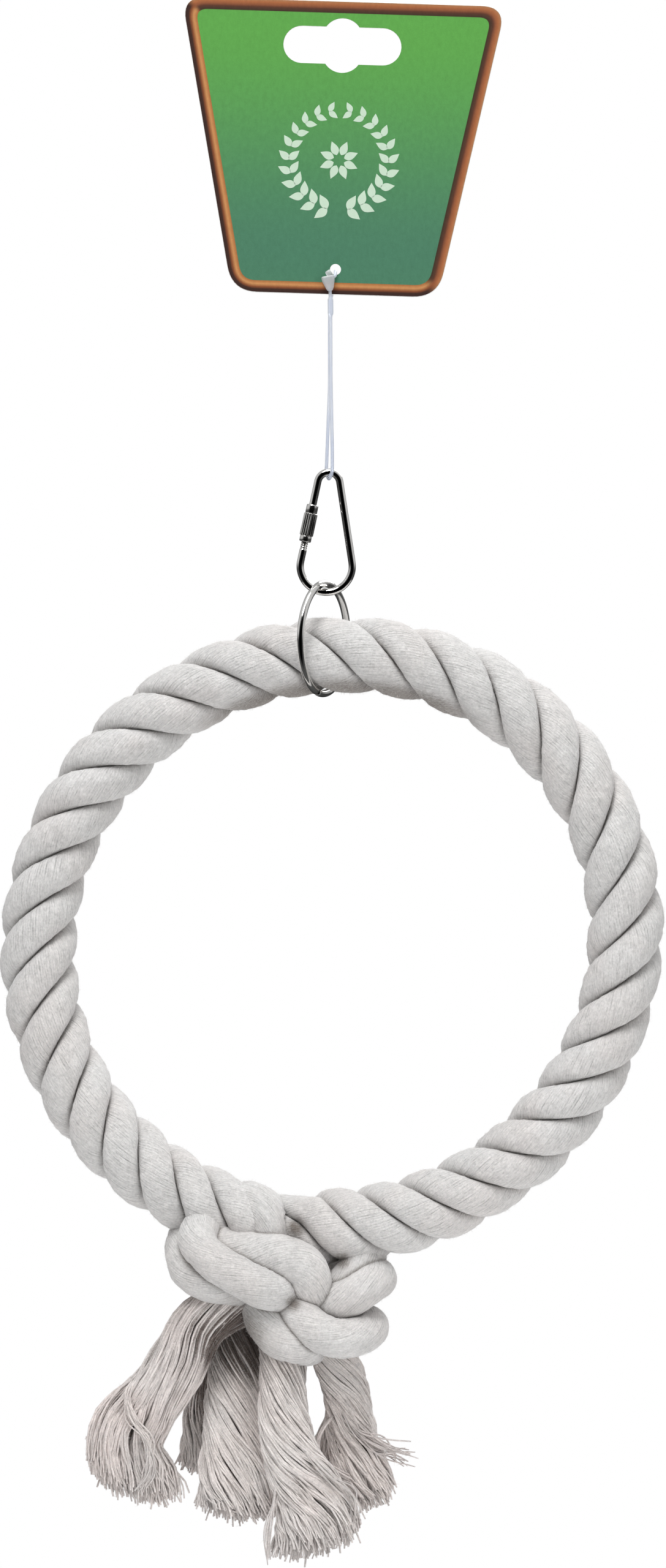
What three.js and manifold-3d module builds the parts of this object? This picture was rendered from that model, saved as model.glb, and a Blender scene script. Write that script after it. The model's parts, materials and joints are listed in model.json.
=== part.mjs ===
// Cotton rope bird ring hanging from its header card.
// Millimetres, +Z up, front toward -Y. The origin is the point at the top of the
// card's hanging slot where a peg carries the whole object.
import * as THREE from 'three';
import { mergeVertices } from 'three/addons/utils/BufferGeometryUtils.js';
import Module from 'manifold-3d';

// Space kept between pieces that touch on the real object
const CLEARANCE = 0.3;

// Header card
const CARD_TOP_WIDTH = 88;
const CARD_BOTTOM_WIDTH = 56;
const CARD_HEIGHT = 79.5;
const CARD_THICKNESS = 0.8;
const CARD_TOP_CORNER = 4;
const CARD_BOTTOM_CORNER = 7;
const SLOT_WIDTH = 32;
const SLOT_HEIGHT = 10.1;
const SLOT_BULGE_WIDTH = 9;
const SLOT_BULGE_HEIGHT = 14.8;
const SLOT_TOP_MARGIN = 4.6;
const TAG_HOLE_DIAMETER = 3;
const TAG_HOLE_MARGIN = 6.8;

// Plastic tag loop
const FILAMENT_DIAMETER = 0.9;
const LOOP_DROP = 55;
const LOOP_SPREAD = 1.5;
const LOCK_WIDTH = 4.3;
const LOCK_HEIGHT = 5.3;
const LOCK_DEPTH = 2.8;
const LOCK_TAPER = 0.8;
const LOCK_SIDE_SHIFT = 1.2;
const LOCK_TILT = 20;

// Pear-shaped quick link
const LINK_WIRE = 2;
const LINK_TOP_RADIUS = 3;
const LINK_BOW_RADIUS = 7.05;
const LINK_CENTRE_DISTANCE = 22.45;
const LINK_OPENING = 5.4;

// Sleeve nut on the left limb of the link
const NUT_LENGTH = 10.2;
const NUT_BARREL_LENGTH = 6.1;
const NUT_LOWER_COLLAR = 1.7;
const NUT_BARREL_DIAMETER = 3.7;
const NUT_COLLAR_DIAMETER = 3.2;
const NUT_FLUTES = 18;
const NUT_FLUTE_DEPTH = 0.2;
const NUT_FROM_TOP_BEND = 6.6;
const NUT_GRIP_BELOW = 1.8;

// Bent wire ring
const RING_WIRE = 2;
const RING_OUTER_DIAMETER = 31.8;
const RING_TURN = 65;
const RING_BUTT_GAP = 0.3;
const RING_BUTT_ANGLE = -14;

// Laid cotton rope bent into a ring
const ROPE_DIAMETER = 20.6;
const STRAND_COUNT = 3;
const GROOVE_DEPTH = 3.9;
const CROWN_FULLNESS = 2.8;
const LAY_LENGTH = 41.3;
const LAY_START = 8.7;
const LAY_DRIFT = 5.1;
const LAY_DRIFT_AXIS = 113.5;
const ROPE_RING_RADIUS = 78.5;
const ROPE_RING_OVAL = 1.75;
const ROPE_OVAL_AXIS = 60;
const ROPE_HANG_OFFSET = 4.8;
const WIRE_BED = 1.2;
const ROPE_SEAM = 188.6;

// Knot and unlaid tails below the ring
const KNOT_DROP = 19.2;
const KNOT_STRAND_DIAMETER = 10.6;
const TAIL_SIDES = 12;
const TAIL_STEPS = 6;

// Facets of the round pieces
const WIRE_SIDES = 10;
const FILAMENT_SIDES = 8;
const KNOT_SIDES = 9;
const STRAND_STEPS_PER_TURN = 9;
const CURVE_SEGMENTS = 6;

const TWO_PI = 2 * Math.PI;
const DEGREE = Math.PI / 180;
const FRONT = new THREE.Vector3(0, -1, 0);

const wasm = await Module();
wasm.setup();

// Turns a closed geometry into a solid that can be cut and joined
function solidOf(geometry) {
  const bare = geometry.clone();
  bare.deleteAttribute('normal');
  bare.deleteAttribute('uv');
  const merged = mergeVertices(bare, 1e-4);
  const vertProperties = new Float32Array(merged.attributes.position.array);
  const triVerts = new Uint32Array(merged.index.array);
  return new wasm.Manifold(new wasm.Mesh({ numProp: 3, vertProperties, triVerts }));
}

// Turns a solid back into a geometry, keeping its largest body
function geometryOf(solid) {
  const bodies = solid.decompose().sort((a, b) => b.volume() - a.volume());
  const mesh = bodies[0].getMesh();
  const geometry = new THREE.BufferGeometry();
  geometry.setAttribute('position', new THREE.BufferAttribute(mesh.vertProperties, 3));
  geometry.setIndex(new THREE.BufferAttribute(mesh.triVerts, 1));
  geometry.computeVertexNormals();
  return geometry;
}

// Closed skin over a row of sections with the same number of points. The quads of the
// last edge are split the other way, so that neighbouring strands meet without crossing.
function loft(sections) {
  const count = sections[0].length;
  const points = sections.flat();
  const faces = [];
  for (let row = 0; row < sections.length - 1; row += 1) {
    for (let i = 0; i < count; i += 1) {
      const next = (i + 1) % count;
      const a = row * count + i;
      const b = row * count + next;
      const c = b + count;
      const d = a + count;
      if (next === 0) faces.push(a, b, d, b, c, d);
      else faces.push(a, b, c, a, c, d);
    }
  }
  const last = (sections.length - 1) * count;
  for (let i = 1; i < count - 1; i += 1) {
    faces.push(0, i + 1, i);
    faces.push(last, last + i, last + i + 1);
  }
  const geometry = new THREE.BufferGeometry().setFromPoints(points);
  geometry.setIndex(signedVolume(points, faces) < 0 ? faces.reverse() : faces);
  geometry.computeVertexNormals();
  return geometry;
}

// Volume inside the faces, negative where they point inwards
function signedVolume(points, faces) {
  let volume = 0;
  for (let i = 0; i < faces.length; i += 3) {
    const [a, b, c] = [points[faces[i]], points[faces[i + 1]], points[faces[i + 2]]];
    volume += a.dot(new THREE.Vector3().crossVectors(b, c)) / 6;
  }
  return volume;
}

// Polygon outline of a round section
function roundSection(radius, sides) {
  const points = [];
  for (let i = 0; i < sides; i += 1) {
    const angle = (TWO_PI * (i + 0.5)) / sides;
    points.push(new THREE.Vector2(radius * Math.cos(angle), radius * Math.sin(angle)));
  }
  return new THREE.Shape(points);
}

// Round bar along a curve
function barAlong(curve, radius, sides, steps) {
  const options = { steps, bevelEnabled: false, extrudePath: curve };
  return new THREE.ExtrudeGeometry(roundSection(radius, sides), options);
}

// Smooth curve through points given as x, y, z rows of a unit, moved by an offset
function smoothCurve(rows, unit = 1, offset = new THREE.Vector3()) {
  const points = rows.map(([x, y, z]) => new THREE.Vector3(x, y, z).multiplyScalar(unit).add(offset));
  return new THREE.CatmullRomCurve3(points, false, 'centripetal');
}

// Named sub-part with its own finish
function subPart(name, geometry, color, roughness, metalness = 0) {
  const mesh = new THREE.Mesh(geometry, new THREE.MeshStandardMaterial({ color, roughness, metalness }));
  mesh.name = name;
  return mesh;
}

// Group placed in the frame of its parent
function placed(x, y, z, ...children) {
  const group = new THREE.Group();
  group.position.set(x, y, z);
  group.add(...children);
  return group;
}

// Places down the hanging line, from the peg to the rope
const CARD_TOP = SLOT_TOP_MARGIN;
const CARD_BOTTOM = CARD_TOP - CARD_HEIGHT;
const TAG_HOLE_Z = CARD_BOTTOM + TAG_HOLE_MARGIN;
const LINK_TOP_Z = TAG_HOLE_Z - LOOP_DROP;
const LINK_BOW_Z = LINK_TOP_Z - LINK_TOP_RADIUS - LINK_CENTRE_DISTANCE - LINK_BOW_RADIUS;
const RING_MEAN_RADIUS = (RING_OUTER_DIAMETER - RING_WIRE) / 2;
const RING_CENTRE_Z = LINK_BOW_Z + (LINK_WIRE + RING_WIRE) / 2 + CLEARANCE - RING_MEAN_RADIUS;
const ROPE_RADIUS = ROPE_DIAMETER / 2;
const WIRE_TOP_Z = RING_CENTRE_Z - RING_MEAN_RADIUS + RING_WIRE / 2;
const ROPE_TOP_Z = WIRE_TOP_Z + CLEARANCE + ROPE_RADIUS - WIRE_BED;

// Trapezoid outline with rounded corners
function cardOutline() {
  const corners = [
    { x: -CARD_BOTTOM_WIDTH / 2, z: CARD_BOTTOM, radius: CARD_BOTTOM_CORNER },
    { x: CARD_BOTTOM_WIDTH / 2, z: CARD_BOTTOM, radius: CARD_BOTTOM_CORNER },
    { x: CARD_TOP_WIDTH / 2, z: CARD_TOP, radius: CARD_TOP_CORNER },
    { x: -CARD_TOP_WIDTH / 2, z: CARD_TOP, radius: CARD_TOP_CORNER },
  ];
  const shape = new THREE.Shape();
  corners.forEach((corner, i) => {
    const here = new THREE.Vector2(corner.x, corner.z);
    const before = corners[(i + corners.length - 1) % corners.length];
    const after = corners[(i + 1) % corners.length];
    const back = new THREE.Vector2(before.x, before.z).sub(here).setLength(corner.radius).add(here);
    const ahead = new THREE.Vector2(after.x, after.z).sub(here).setLength(corner.radius).add(here);
    if (i === 0) shape.moveTo(back.x, back.y);
    else shape.lineTo(back.x, back.y);
    shape.quadraticCurveTo(here.x, here.y, ahead.x, ahead.y);
  });
  shape.closePath();
  return shape;
}

// Hanging slot: a long slot with round ends and a round bulge above and below its middle
function hangingSlot() {
  const middle = -SLOT_BULGE_HEIGHT / 2;
  const endRadius = SLOT_HEIGHT / 2;
  const endX = SLOT_WIDTH / 2 - endRadius;
  const halfChord = SLOT_BULGE_WIDTH / 2;
  const rise = (SLOT_BULGE_HEIGHT - SLOT_HEIGHT) / 2;
  const bulgeRadius = (halfChord ** 2 + rise ** 2) / (2 * rise);
  const inset = endRadius + rise - bulgeRadius;
  const start = Math.atan2(endRadius - inset, halfChord);
  const quarter = Math.PI / 2;
  const slot = new THREE.Path();
  slot.absarc(endX, middle, endRadius, -quarter, quarter);
  slot.absarc(0, middle + inset, bulgeRadius, start, Math.PI - start);
  slot.absarc(-endX, middle, endRadius, quarter, 3 * quarter);
  slot.absarc(0, middle - inset, bulgeRadius, Math.PI + start, TWO_PI - start);
  slot.closePath();
  return slot;
}

function headerCard() {
  const outline = cardOutline();
  const tagHole = new THREE.Path();
  tagHole.absarc(0, TAG_HOLE_Z, TAG_HOLE_DIAMETER / 2, 0, TWO_PI);
  outline.holes.push(hangingSlot(), tagHole);
  const options = { depth: CARD_THICKNESS, bevelEnabled: false, curveSegments: CURVE_SEGMENTS };
  const board = new THREE.ExtrudeGeometry(outline, options);
  board.rotateX(Math.PI / 2);
  board.translate(0, CARD_THICKNESS / 2, 0);
  return subPart('header_card', board, 0x8fae4a, 0.6);
}

// Lock head of the tag loop, a small block that narrows toward the filament
function lockHead(centre) {
  const half = LOCK_HEIGHT / 2;
  const block = [-half, half].map((z) => {
    const narrow = z < 0 ? LOCK_TAPER : 1;
    const x = (LOCK_WIDTH / 2) * narrow;
    const y = LOCK_DEPTH / 2;
    return [[-x, -y], [x, -y], [x, y], [-x, y]].map(([px, py]) => new THREE.Vector3(px, py, z));
  });
  const head = loft(block);
  head.rotateY(LOCK_TILT * DEGREE);
  head.translate(centre.x, centre.y, centre.z);
  return head;
}

// One moulded piece: it leaves the lock head, passes under the link's top bend, comes up
// behind the card, goes through the card's hole and returns into the lock head.
function tagLoop() {
  const radius = FILAMENT_DIAMETER / 2;
  const saddle = CARD_THICKNESS / 2 + CLEARANCE + radius;
  const saddleZ = TAG_HOLE_Z - TAG_HOLE_DIAMETER / 2 - radius / 3;
  const bight = LINK_WIRE / 2 + CLEARANCE + radius;
  const lockY = -CARD_THICKNESS / 2 - CLEARANCE - LOCK_DEPTH / 2;
  const lock = new THREE.Vector3(-LOCK_SIDE_SHIFT, lockY, saddleZ - LOCK_HEIGHT / 2);
  const lockBottom = lock.z - LOCK_HEIGHT / 2;
  const frontX = LOOP_SPREAD / 2;
  const backX = -LOOP_SPREAD / 2;
  const rows = [
    [lock.x, lock.y, lock.z],
    [lock.x, lock.y, lockBottom],
    [frontX - 1, lock.y, (lockBottom + LINK_TOP_Z) / 2],
    [frontX, -bight, LINK_TOP_Z + 2 * bight],
    [frontX, -bight, LINK_TOP_Z],
  ];
  for (const angle of [45, 90, 135]) {
    const share = angle / 180;
    const y = -bight * Math.cos(angle * DEGREE);
    const z = LINK_TOP_Z - bight * Math.sin(angle * DEGREE);
    rows.push([frontX + (backX - frontX) * share, y, z]);
  }
  rows.push([backX, bight, LINK_TOP_Z]);
  rows.push([backX, bight, LINK_TOP_Z + 2 * bight]);
  rows.push([backX / 2, saddle, CARD_BOTTOM - bight]);
  rows.push([0, saddle, CARD_BOTTOM]);
  for (const angle of [0, 45, 90, 135, 180]) {
    rows.push([0, saddle * Math.cos(angle * DEGREE), saddleZ + saddle * Math.sin(angle * DEGREE)]);
  }
  rows.push([lock.x / 2, (lock.y - saddle) / 2, (saddleZ + lock.z) / 2]);
  const filament = barAlong(smoothCurve(rows), radius, FILAMENT_SIDES, 72);
  const loop = solidOf(filament).add(solidOf(lockHead(lock)));
  return subPart('tag_loop', geometryOf(loop), 0xdfe6ea, 0.35);
}

// The two bends of the link and the straight limbs between them
const LINK_LEAN = Math.asin((LINK_BOW_RADIUS - LINK_TOP_RADIUS) / LINK_CENTRE_DISTANCE);
const LINK_TOP_CENTRE = LINK_TOP_Z - LINK_TOP_RADIUS;
const LINK_BOW_CENTRE = LINK_TOP_CENTRE - LINK_CENTRE_DISTANCE;
const LIMB_LENGTH = LINK_CENTRE_DISTANCE * Math.cos(LINK_LEAN);

// Point on the left limb, measured down from the end of the top bend
function leftLimb(distance) {
  const x = -LINK_TOP_RADIUS * Math.cos(LINK_LEAN) - distance * Math.sin(LINK_LEAN);
  const z = LINK_TOP_CENTRE + LINK_TOP_RADIUS * Math.sin(LINK_LEAN) - distance * Math.cos(LINK_LEAN);
  return [x, 0, z];
}

// Points on a bend of the link, from one angle to another above the +X direction
function bend(centreZ, radius, from, to, count) {
  const rows = [];
  for (let i = 0; i <= count; i += 1) {
    const angle = from + ((to - from) * i) / count;
    rows.push([radius * Math.cos(angle), 0, centreZ + radius * Math.sin(angle)]);
  }
  return rows;
}

function linkBody() {
  const nutBottom = NUT_FROM_TOP_BEND + NUT_LENGTH;
  const lowerStub = nutBottom - NUT_GRIP_BELOW;
  const upperStub = lowerStub - LINK_OPENING;
  const right = (distance) => leftLimb(distance).map((value, axis) => (axis === 0 ? -value : value));
  const rows = [
    leftLimb(upperStub),
    leftLimb(upperStub / 2),
    ...bend(LINK_TOP_CENTRE, LINK_TOP_RADIUS, Math.PI - LINK_LEAN, LINK_LEAN, 6),
    right(LIMB_LENGTH / 3),
    right((2 * LIMB_LENGTH) / 3),
    ...bend(LINK_BOW_CENTRE, LINK_BOW_RADIUS, LINK_LEAN, -Math.PI - LINK_LEAN, 10),
    leftLimb((LIMB_LENGTH + lowerStub) / 2),
    leftLimb(lowerStub),
  ];
  const wire = barAlong(smoothCurve(rows), LINK_WIRE / 2, WIRE_SIDES, 56);
  return subPart('link_body', wire, 0xc9ccd0, 0.15, 1);
}

// Sleeve with a collar at each end, a fluted barrel and a bore that clears the wire
function sleeveNut() {
  const levels = [
    [0, NUT_COLLAR_DIAMETER, 0],
    [NUT_LOWER_COLLAR, NUT_COLLAR_DIAMETER, 0],
    [NUT_LOWER_COLLAR, NUT_BARREL_DIAMETER, NUT_FLUTE_DEPTH],
    [NUT_LOWER_COLLAR + NUT_BARREL_LENGTH, NUT_BARREL_DIAMETER, NUT_FLUTE_DEPTH],
    [NUT_LOWER_COLLAR + NUT_BARREL_LENGTH, NUT_COLLAR_DIAMETER, 0],
    [NUT_LENGTH, NUT_COLLAR_DIAMETER, 0],
  ];
  const sections = levels.map(([z, diameter, flute]) => {
    const ring = [];
    for (let i = 0; i < 2 * NUT_FLUTES; i += 1) {
      const radius = diameter / 2 - (i % 2) * flute;
      const angle = (Math.PI * i) / NUT_FLUTES;
      ring.push(new THREE.Vector3(radius * Math.cos(angle), radius * Math.sin(angle), z));
    }
    return ring;
  });
  const boreRadius = LINK_WIRE / 2 + CLEARANCE;
  const bore = new THREE.CylinderGeometry(boreRadius, boreRadius, 2 * NUT_LENGTH, 16);
  bore.rotateX(Math.PI / 2);
  bore.translate(0, 0, NUT_LENGTH / 2);
  const sleeve = geometryOf(solidOf(loft(sections)).subtract(solidOf(bore)));
  const seat = leftLimb(NUT_FROM_TOP_BEND + NUT_LENGTH);
  const nut = placed(...seat, subPart('link_sleeve_nut', sleeve, 0xb9bcc0, 0.3, 1));
  nut.rotation.y = LINK_LEAN;
  return nut;
}

// Wire ring with its butt joint low at the front
function metalRing() {
  const halfGap = RING_BUTT_GAP / (2 * RING_MEAN_RADIUS);
  const start = -Math.PI / 2 + RING_BUTT_ANGLE * DEGREE + halfGap;
  const sweep = TWO_PI - 2 * halfGap;
  const rows = bend(0, RING_MEAN_RADIUS, start, start + sweep, 24);
  const wire = barAlong(smoothCurve(rows), RING_WIRE / 2, WIRE_SIDES, 36);
  const ring = placed(0, 0, RING_CENTRE_Z, subPart('metal_ring', wire, 0xc4c7cb, 0.18, 1));
  ring.rotation.z = RING_TURN * DEGREE;
  return ring;
}

// The two rope ends meet at the seam above the knot, a clearance apart
const ROPE_HALF_SEAM = CLEARANCE / 2 / (ROPE_RING_RADIUS - ROPE_DIAMETER) / DEGREE;
const ROPE_LEFT_END = ROPE_SEAM - 360 + ROPE_HALF_SEAM;
const ROPE_RIGHT_END = ROPE_SEAM - ROPE_HALF_SEAM;

// Point on the rope's centre line round its ring, at a clockwise angle from the top
function ropePoint(angle) {
  const oval = ROPE_RING_OVAL * Math.cos(2 * (angle - ROPE_OVAL_AXIS) * DEGREE);
  const reach = ROPE_RING_RADIUS + oval;
  return new THREE.Vector3(reach * Math.sin(angle * DEGREE), 0, reach * Math.cos(angle * DEGREE));
}

// Stretch of the rope's centre line as a curve
class RopeLine extends THREE.Curve {
  constructor(from, to) {
    super();
    this.from = from;
    this.to = to;
  }

  getPoint(share, target = new THREE.Vector3()) {
    return target.copy(ropePoint(this.from + (this.to - this.from) * share));
  }
}

// Section of one strand as seen along the rope: a sector with a rounded crown and flat
// sides against its two neighbours
function strandOutline() {
  const half = Math.PI / STRAND_COUNT;
  const inset = CLEARANCE / 2;
  const outline = [new THREE.Vector2(inset / Math.sin(half), 0)];
  for (const share of [-1, -0.6, -0.2, 0.2, 0.6, 1]) {
    const angle = half * share;
    const reach = ROPE_RADIUS - GROOVE_DEPTH * Math.abs(share) ** CROWN_FULLNESS;
    const point = new THREE.Vector2(reach, 0).rotateAround(new THREE.Vector2(), angle);
    const away = new THREE.Vector2(Math.sin(half), -share * Math.cos(half));
    if (Math.abs(share) === 1) point.addScaledVector(away, inset);
    outline.push(point);
  }
  return outline;
}

// Turn of a strand about the rope's centre line, from outward over the front to inward.
// The bent rope is laid a little closer on one side of the ring than on the other.
const LAY_ANGLE = LAY_LENGTH / ROPE_RING_RADIUS / DEGREE;

function strandTurn(angle, index) {
  const drift = LAY_DRIFT * Math.cos((angle - LAY_DRIFT_AXIS) * DEGREE);
  return TWO_PI * ((angle - LAY_START - drift) / LAY_ANGLE + index / STRAND_COUNT);
}

// One strand laid round the rope's centre line from end to end
function ropeStrand(index) {
  const outline = strandOutline();
  const sweep = ROPE_RIGHT_END - ROPE_LEFT_END;
  const steps = Math.round((sweep / LAY_ANGLE) * STRAND_STEPS_PER_TURN);
  const sections = [];
  for (let step = 0; step <= steps; step += 1) {
    const angle = ROPE_LEFT_END + (sweep * step) / steps;
    const turn = strandTurn(angle, index);
    const ahead = ropePoint(angle + 0.5).sub(ropePoint(angle - 0.5)).normalize();
    const outward = new THREE.Vector3().crossVectors(FRONT, ahead);
    const middle = ropePoint(angle);
    sections.push(outline.map((point) => {
      const turned = point.clone().rotateAround(new THREE.Vector2(), turn);
      return middle.clone().addScaledVector(outward, turned.x).addScaledVector(FRONT, turned.y);
    }));
  }
  return loft(sections);
}

// Routes of the strands in the knot, in strand diameters from its middle. The ones that lie
// in front come first, and each later one is flattened where it presses on those before it.
const KNOT_ROUTES = {
  front_diagonal: [
    [-1.23, -0.38, 1.51], [-1.79, -0.94, 1.21], [-1.21, -1.21, 0.75], [-0.59, -1.25, 0.35],
    [0.02, -1.18, 0], [0.42, -0.75, -0.38],
  ],
  lower_right: [
    [0.09, -0.57, -0.28], [0.42, -0.99, -0.52], [0.94, -1.18, -0.83], [1.51, -1.13, -1.02],
    [2.03, -0.75, -0.9], [2.22, -0.09, -0.75], [2.03, 0.57, -0.66], [1.32, 1.13, -0.61],
    [0.38, 1.23, -0.75], [-0.47, 0.85, -0.85],
  ],
  front_arch: [
    [-0.75, -0.47, 1.6], [-0.9, -0.93, 1.16], [-0.38, -1.08, 1.13], [0.14, -1.08, 0.94],
    [0.57, -1.04, 0.61], [0.75, -0.99, 0.19], [0.66, -0.75, -0.24], [0.47, -0.38, -0.47],
  ],
  right_side: [
    [0.85, -0.57, -0.28], [1.42, -0.85, -0.14], [1.93, -0.8, 0.14], [2.36, -0.42, 0.33],
    [2.41, 0.28, 0.42], [1.89, 0.94, 0.47], [0.85, 1.18, 0.33], [-0.28, 1.04, -0.09],
    [-0.75, 0.57, -0.38],
  ],
  left_side: [
    [0.38, 0.85, 0.57], [-0.75, 1.18, 0.85], [-1.7, 0.9, 1.13], [-2.26, 0.28, 1.23],
    [-2.36, -0.42, 0.94], [-2.17, -0.71, 0.57], [-1.79, -0.8, 0.28], [-1.23, -0.75, 0.14],
    [-0.75, -0.38, -0.09],
  ],
  bottom_turn: [
    [-0.47, -0.38, 0], [-0.38, -0.85, -0.42], [-0.24, -1.08, -0.85], [0.14, -1.04, -1.21],
    [0.61, -0.75, -1.37], [1.04, -0.19, -1.32], [0.85, 0.57, -1.32], [0, 0.99, -1.18],
    [-0.85, 0.9, -0.85], [-1.42, 0.66, -0.52], [-1.42, 0.09, -0.19],
  ],
  right_crescent: [
    [0.19, 0, 1.42], [0.57, -0.66, 1.37], [0.99, -0.75, 1.08], [1.18, -0.75, 0.57],
    [1.08, -0.75, 0.09], [0.75, -0.28, -0.28],
  ],
};

// Unlaid tails in strand diameters: route from the knot's middle, and width and depth at the
// top and at the cut end
const TAILS = {
  front_right: {
    route: [[0.28, -0.57, -1.13], [0.24, -1.04, -2.45], [0.66, -1.13, -4.34], [1.18, -1.13, -6.51]],
    top: [1.13, 0.94],
    end: [2.45, 1.04],
  },
  front_left: {
    route: [[-1.13, -0.38, -0.38], [-1.79, -0.47, -1.13], [-2.64, -0.38, -2.64], [-3.77, -0.28, -4.62]],
    top: [1.23, 1.04],
    end: [2.74, 1.23],
  },
  middle_left: {
    route: [[-0.57, -0.28, -0.94], [-0.94, -0.28, -2.08], [-1.13, -0.14, -3.96], [-1.04, -0.09, -5.85]],
    top: [1.13, 0.94],
    end: [1.89, 1.04],
  },
  right: {
    route: [[1.32, -0.19, -0.94], [1.75, -0.09, -2.26], [2.08, 0, -3.77], [2.55, 0, -5.57]],
    top: [1.23, 0.94],
    end: [1.6, 1.04],
  },
  back_left: {
    route: [[-0.94, 0.57, -0.57], [-1.51, 0.85, -1.89], [-2.08, 0.85, -3.4], [-2.36, 0.85, -4.72]],
    top: [1.04, 0.94],
    end: [1.7, 1.04],
  },
  back_right: {
    route: [[0.75, 0.57, -1.13], [1.23, 1.04, -2.45], [1.6, 1.23, -3.58], [1.89, 1.23, -4.62]],
    top: [1.04, 0.85],
    end: [1.6, 0.94],
  },
};

const KNOT_CENTRE = ropePoint(ROPE_SEAM).add(new THREE.Vector3(0, 0, -KNOT_DROP));

// Flaring tail of loose yarn, made larger all round by the given margin
function tailSolid({ route, top, end }, margin) {
  const curve = smoothCurve(route, KNOT_STRAND_DIAMETER, KNOT_CENTRE);
  const depthways = new THREE.Vector3(0, 1, 0);
  const sections = [];
  for (let step = 0; step <= TAIL_STEPS; step += 1) {
    const share = step / TAIL_STEPS;
    const middle = curve.getPoint(share);
    const ahead = curve.getTangent(share).setY(0).normalize();
    const sideways = new THREE.Vector3().crossVectors(depthways, ahead);
    const [width, depth] = [0, 1].map((i) => THREE.MathUtils.lerp(top[i], end[i], share));
    const halfWidth = (width * KNOT_STRAND_DIAMETER) / 2 + margin;
    const halfDepth = (depth * KNOT_STRAND_DIAMETER) / 2 + margin;
    const ring = [];
    for (let i = 0; i < TAIL_SIDES; i += 1) {
      const angle = (TWO_PI * (i + 0.5)) / TAIL_SIDES;
      const point = middle.clone().addScaledVector(sideways, halfWidth * Math.cos(angle));
      ring.push(point.addScaledVector(depthways, halfDepth * Math.sin(angle)));
    }
    sections.push(ring);
  }
  return solidOf(loft(sections));
}

// Strand of the knot as a round bar, made larger all round by the given margin
function knotStrand(route, margin) {
  const radius = KNOT_STRAND_DIAMETER / 2 + margin;
  const curve = smoothCurve(route, KNOT_STRAND_DIAMETER, KNOT_CENTRE);
  return solidOf(barAlong(curve, radius, KNOT_SIDES, 2 * route.length + 2));
}

// Space that the two rope ends take above the knot
function ropeEnds() {
  const beside = 45;
  const line = new RopeLine(ROPE_SEAM - beside, ROPE_SEAM + beside);
  return solidOf(barAlong(line, ROPE_RADIUS + CLEARANCE, 16, 28));
}

// Strands of the knot and tails below it, each cut clear of all that lie before it
function knotAndTails() {
  const pieces = [];
  const taken = [ropeEnds()];
  const clear = (solid) => taken.reduce((left, other) => left.subtract(other), solid);
  for (const [name, route] of Object.entries(KNOT_ROUTES)) {
    const geometry = geometryOf(clear(knotStrand(route, 0)));
    pieces.push(subPart(`knot_${name}`, geometry, 0xe3dedb, 0.95));
    taken.push(knotStrand(route, CLEARANCE));
  }
  for (const [name, tail] of Object.entries(TAILS)) {
    const geometry = geometryOf(clear(tailSolid(tail, 0)));
    pieces.push(subPart(`tail_${name}`, geometry, 0xe6e1de, 0.95));
    taken.push(tailSolid(tail, CLEARANCE));
  }
  return pieces;
}

// The rope hangs in the wire ring a little to one side of its own top
function ropeRing() {
  const hangAngle = -Math.asin(ROPE_HANG_OFFSET / ROPE_RING_RADIUS) / DEGREE;
  const hang = ropePoint(hangAngle);
  const strands = [];
  for (let index = 0; index < STRAND_COUNT; index += 1) {
    strands.push(subPart(`rope_strand_${index + 1}`, ropeStrand(index), 0xddd8d5, 0.95));
  }
  return placed(-hang.x, 0, ROPE_TOP_Z - hang.z, ...strands, ...knotAndTails());
}

const birdRing = new THREE.Group();
birdRing.name = 'rope_bird_ring';
birdRing.add(headerCard(), tagLoop(), linkBody(), sleeveNut(), metalRing(), ropeRing());

export default birdRing;
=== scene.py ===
import json
import math

import bpy
import numpy as np
from mathutils import Matrix, Vector
from mathutils.geometry import delaunay_2d_cdt

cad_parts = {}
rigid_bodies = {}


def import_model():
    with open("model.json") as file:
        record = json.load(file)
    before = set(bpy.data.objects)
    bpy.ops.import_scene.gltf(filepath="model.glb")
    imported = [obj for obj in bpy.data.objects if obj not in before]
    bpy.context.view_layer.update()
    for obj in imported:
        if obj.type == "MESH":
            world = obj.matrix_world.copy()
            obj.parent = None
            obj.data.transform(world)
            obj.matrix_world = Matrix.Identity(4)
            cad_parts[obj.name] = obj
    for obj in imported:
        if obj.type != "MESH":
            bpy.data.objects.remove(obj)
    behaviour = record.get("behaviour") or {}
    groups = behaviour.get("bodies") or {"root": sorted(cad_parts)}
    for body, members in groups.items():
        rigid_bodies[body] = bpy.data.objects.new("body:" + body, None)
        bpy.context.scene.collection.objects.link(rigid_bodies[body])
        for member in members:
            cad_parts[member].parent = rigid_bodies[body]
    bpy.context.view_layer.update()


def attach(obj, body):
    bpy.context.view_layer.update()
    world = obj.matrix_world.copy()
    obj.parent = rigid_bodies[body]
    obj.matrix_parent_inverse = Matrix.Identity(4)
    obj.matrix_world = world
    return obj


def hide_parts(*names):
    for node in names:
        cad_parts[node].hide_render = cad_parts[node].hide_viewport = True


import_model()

MM = 0.001
TWO_PI = 2 * math.pi
FRONT = np.array([0.0, -1.0, 0.0])

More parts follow.
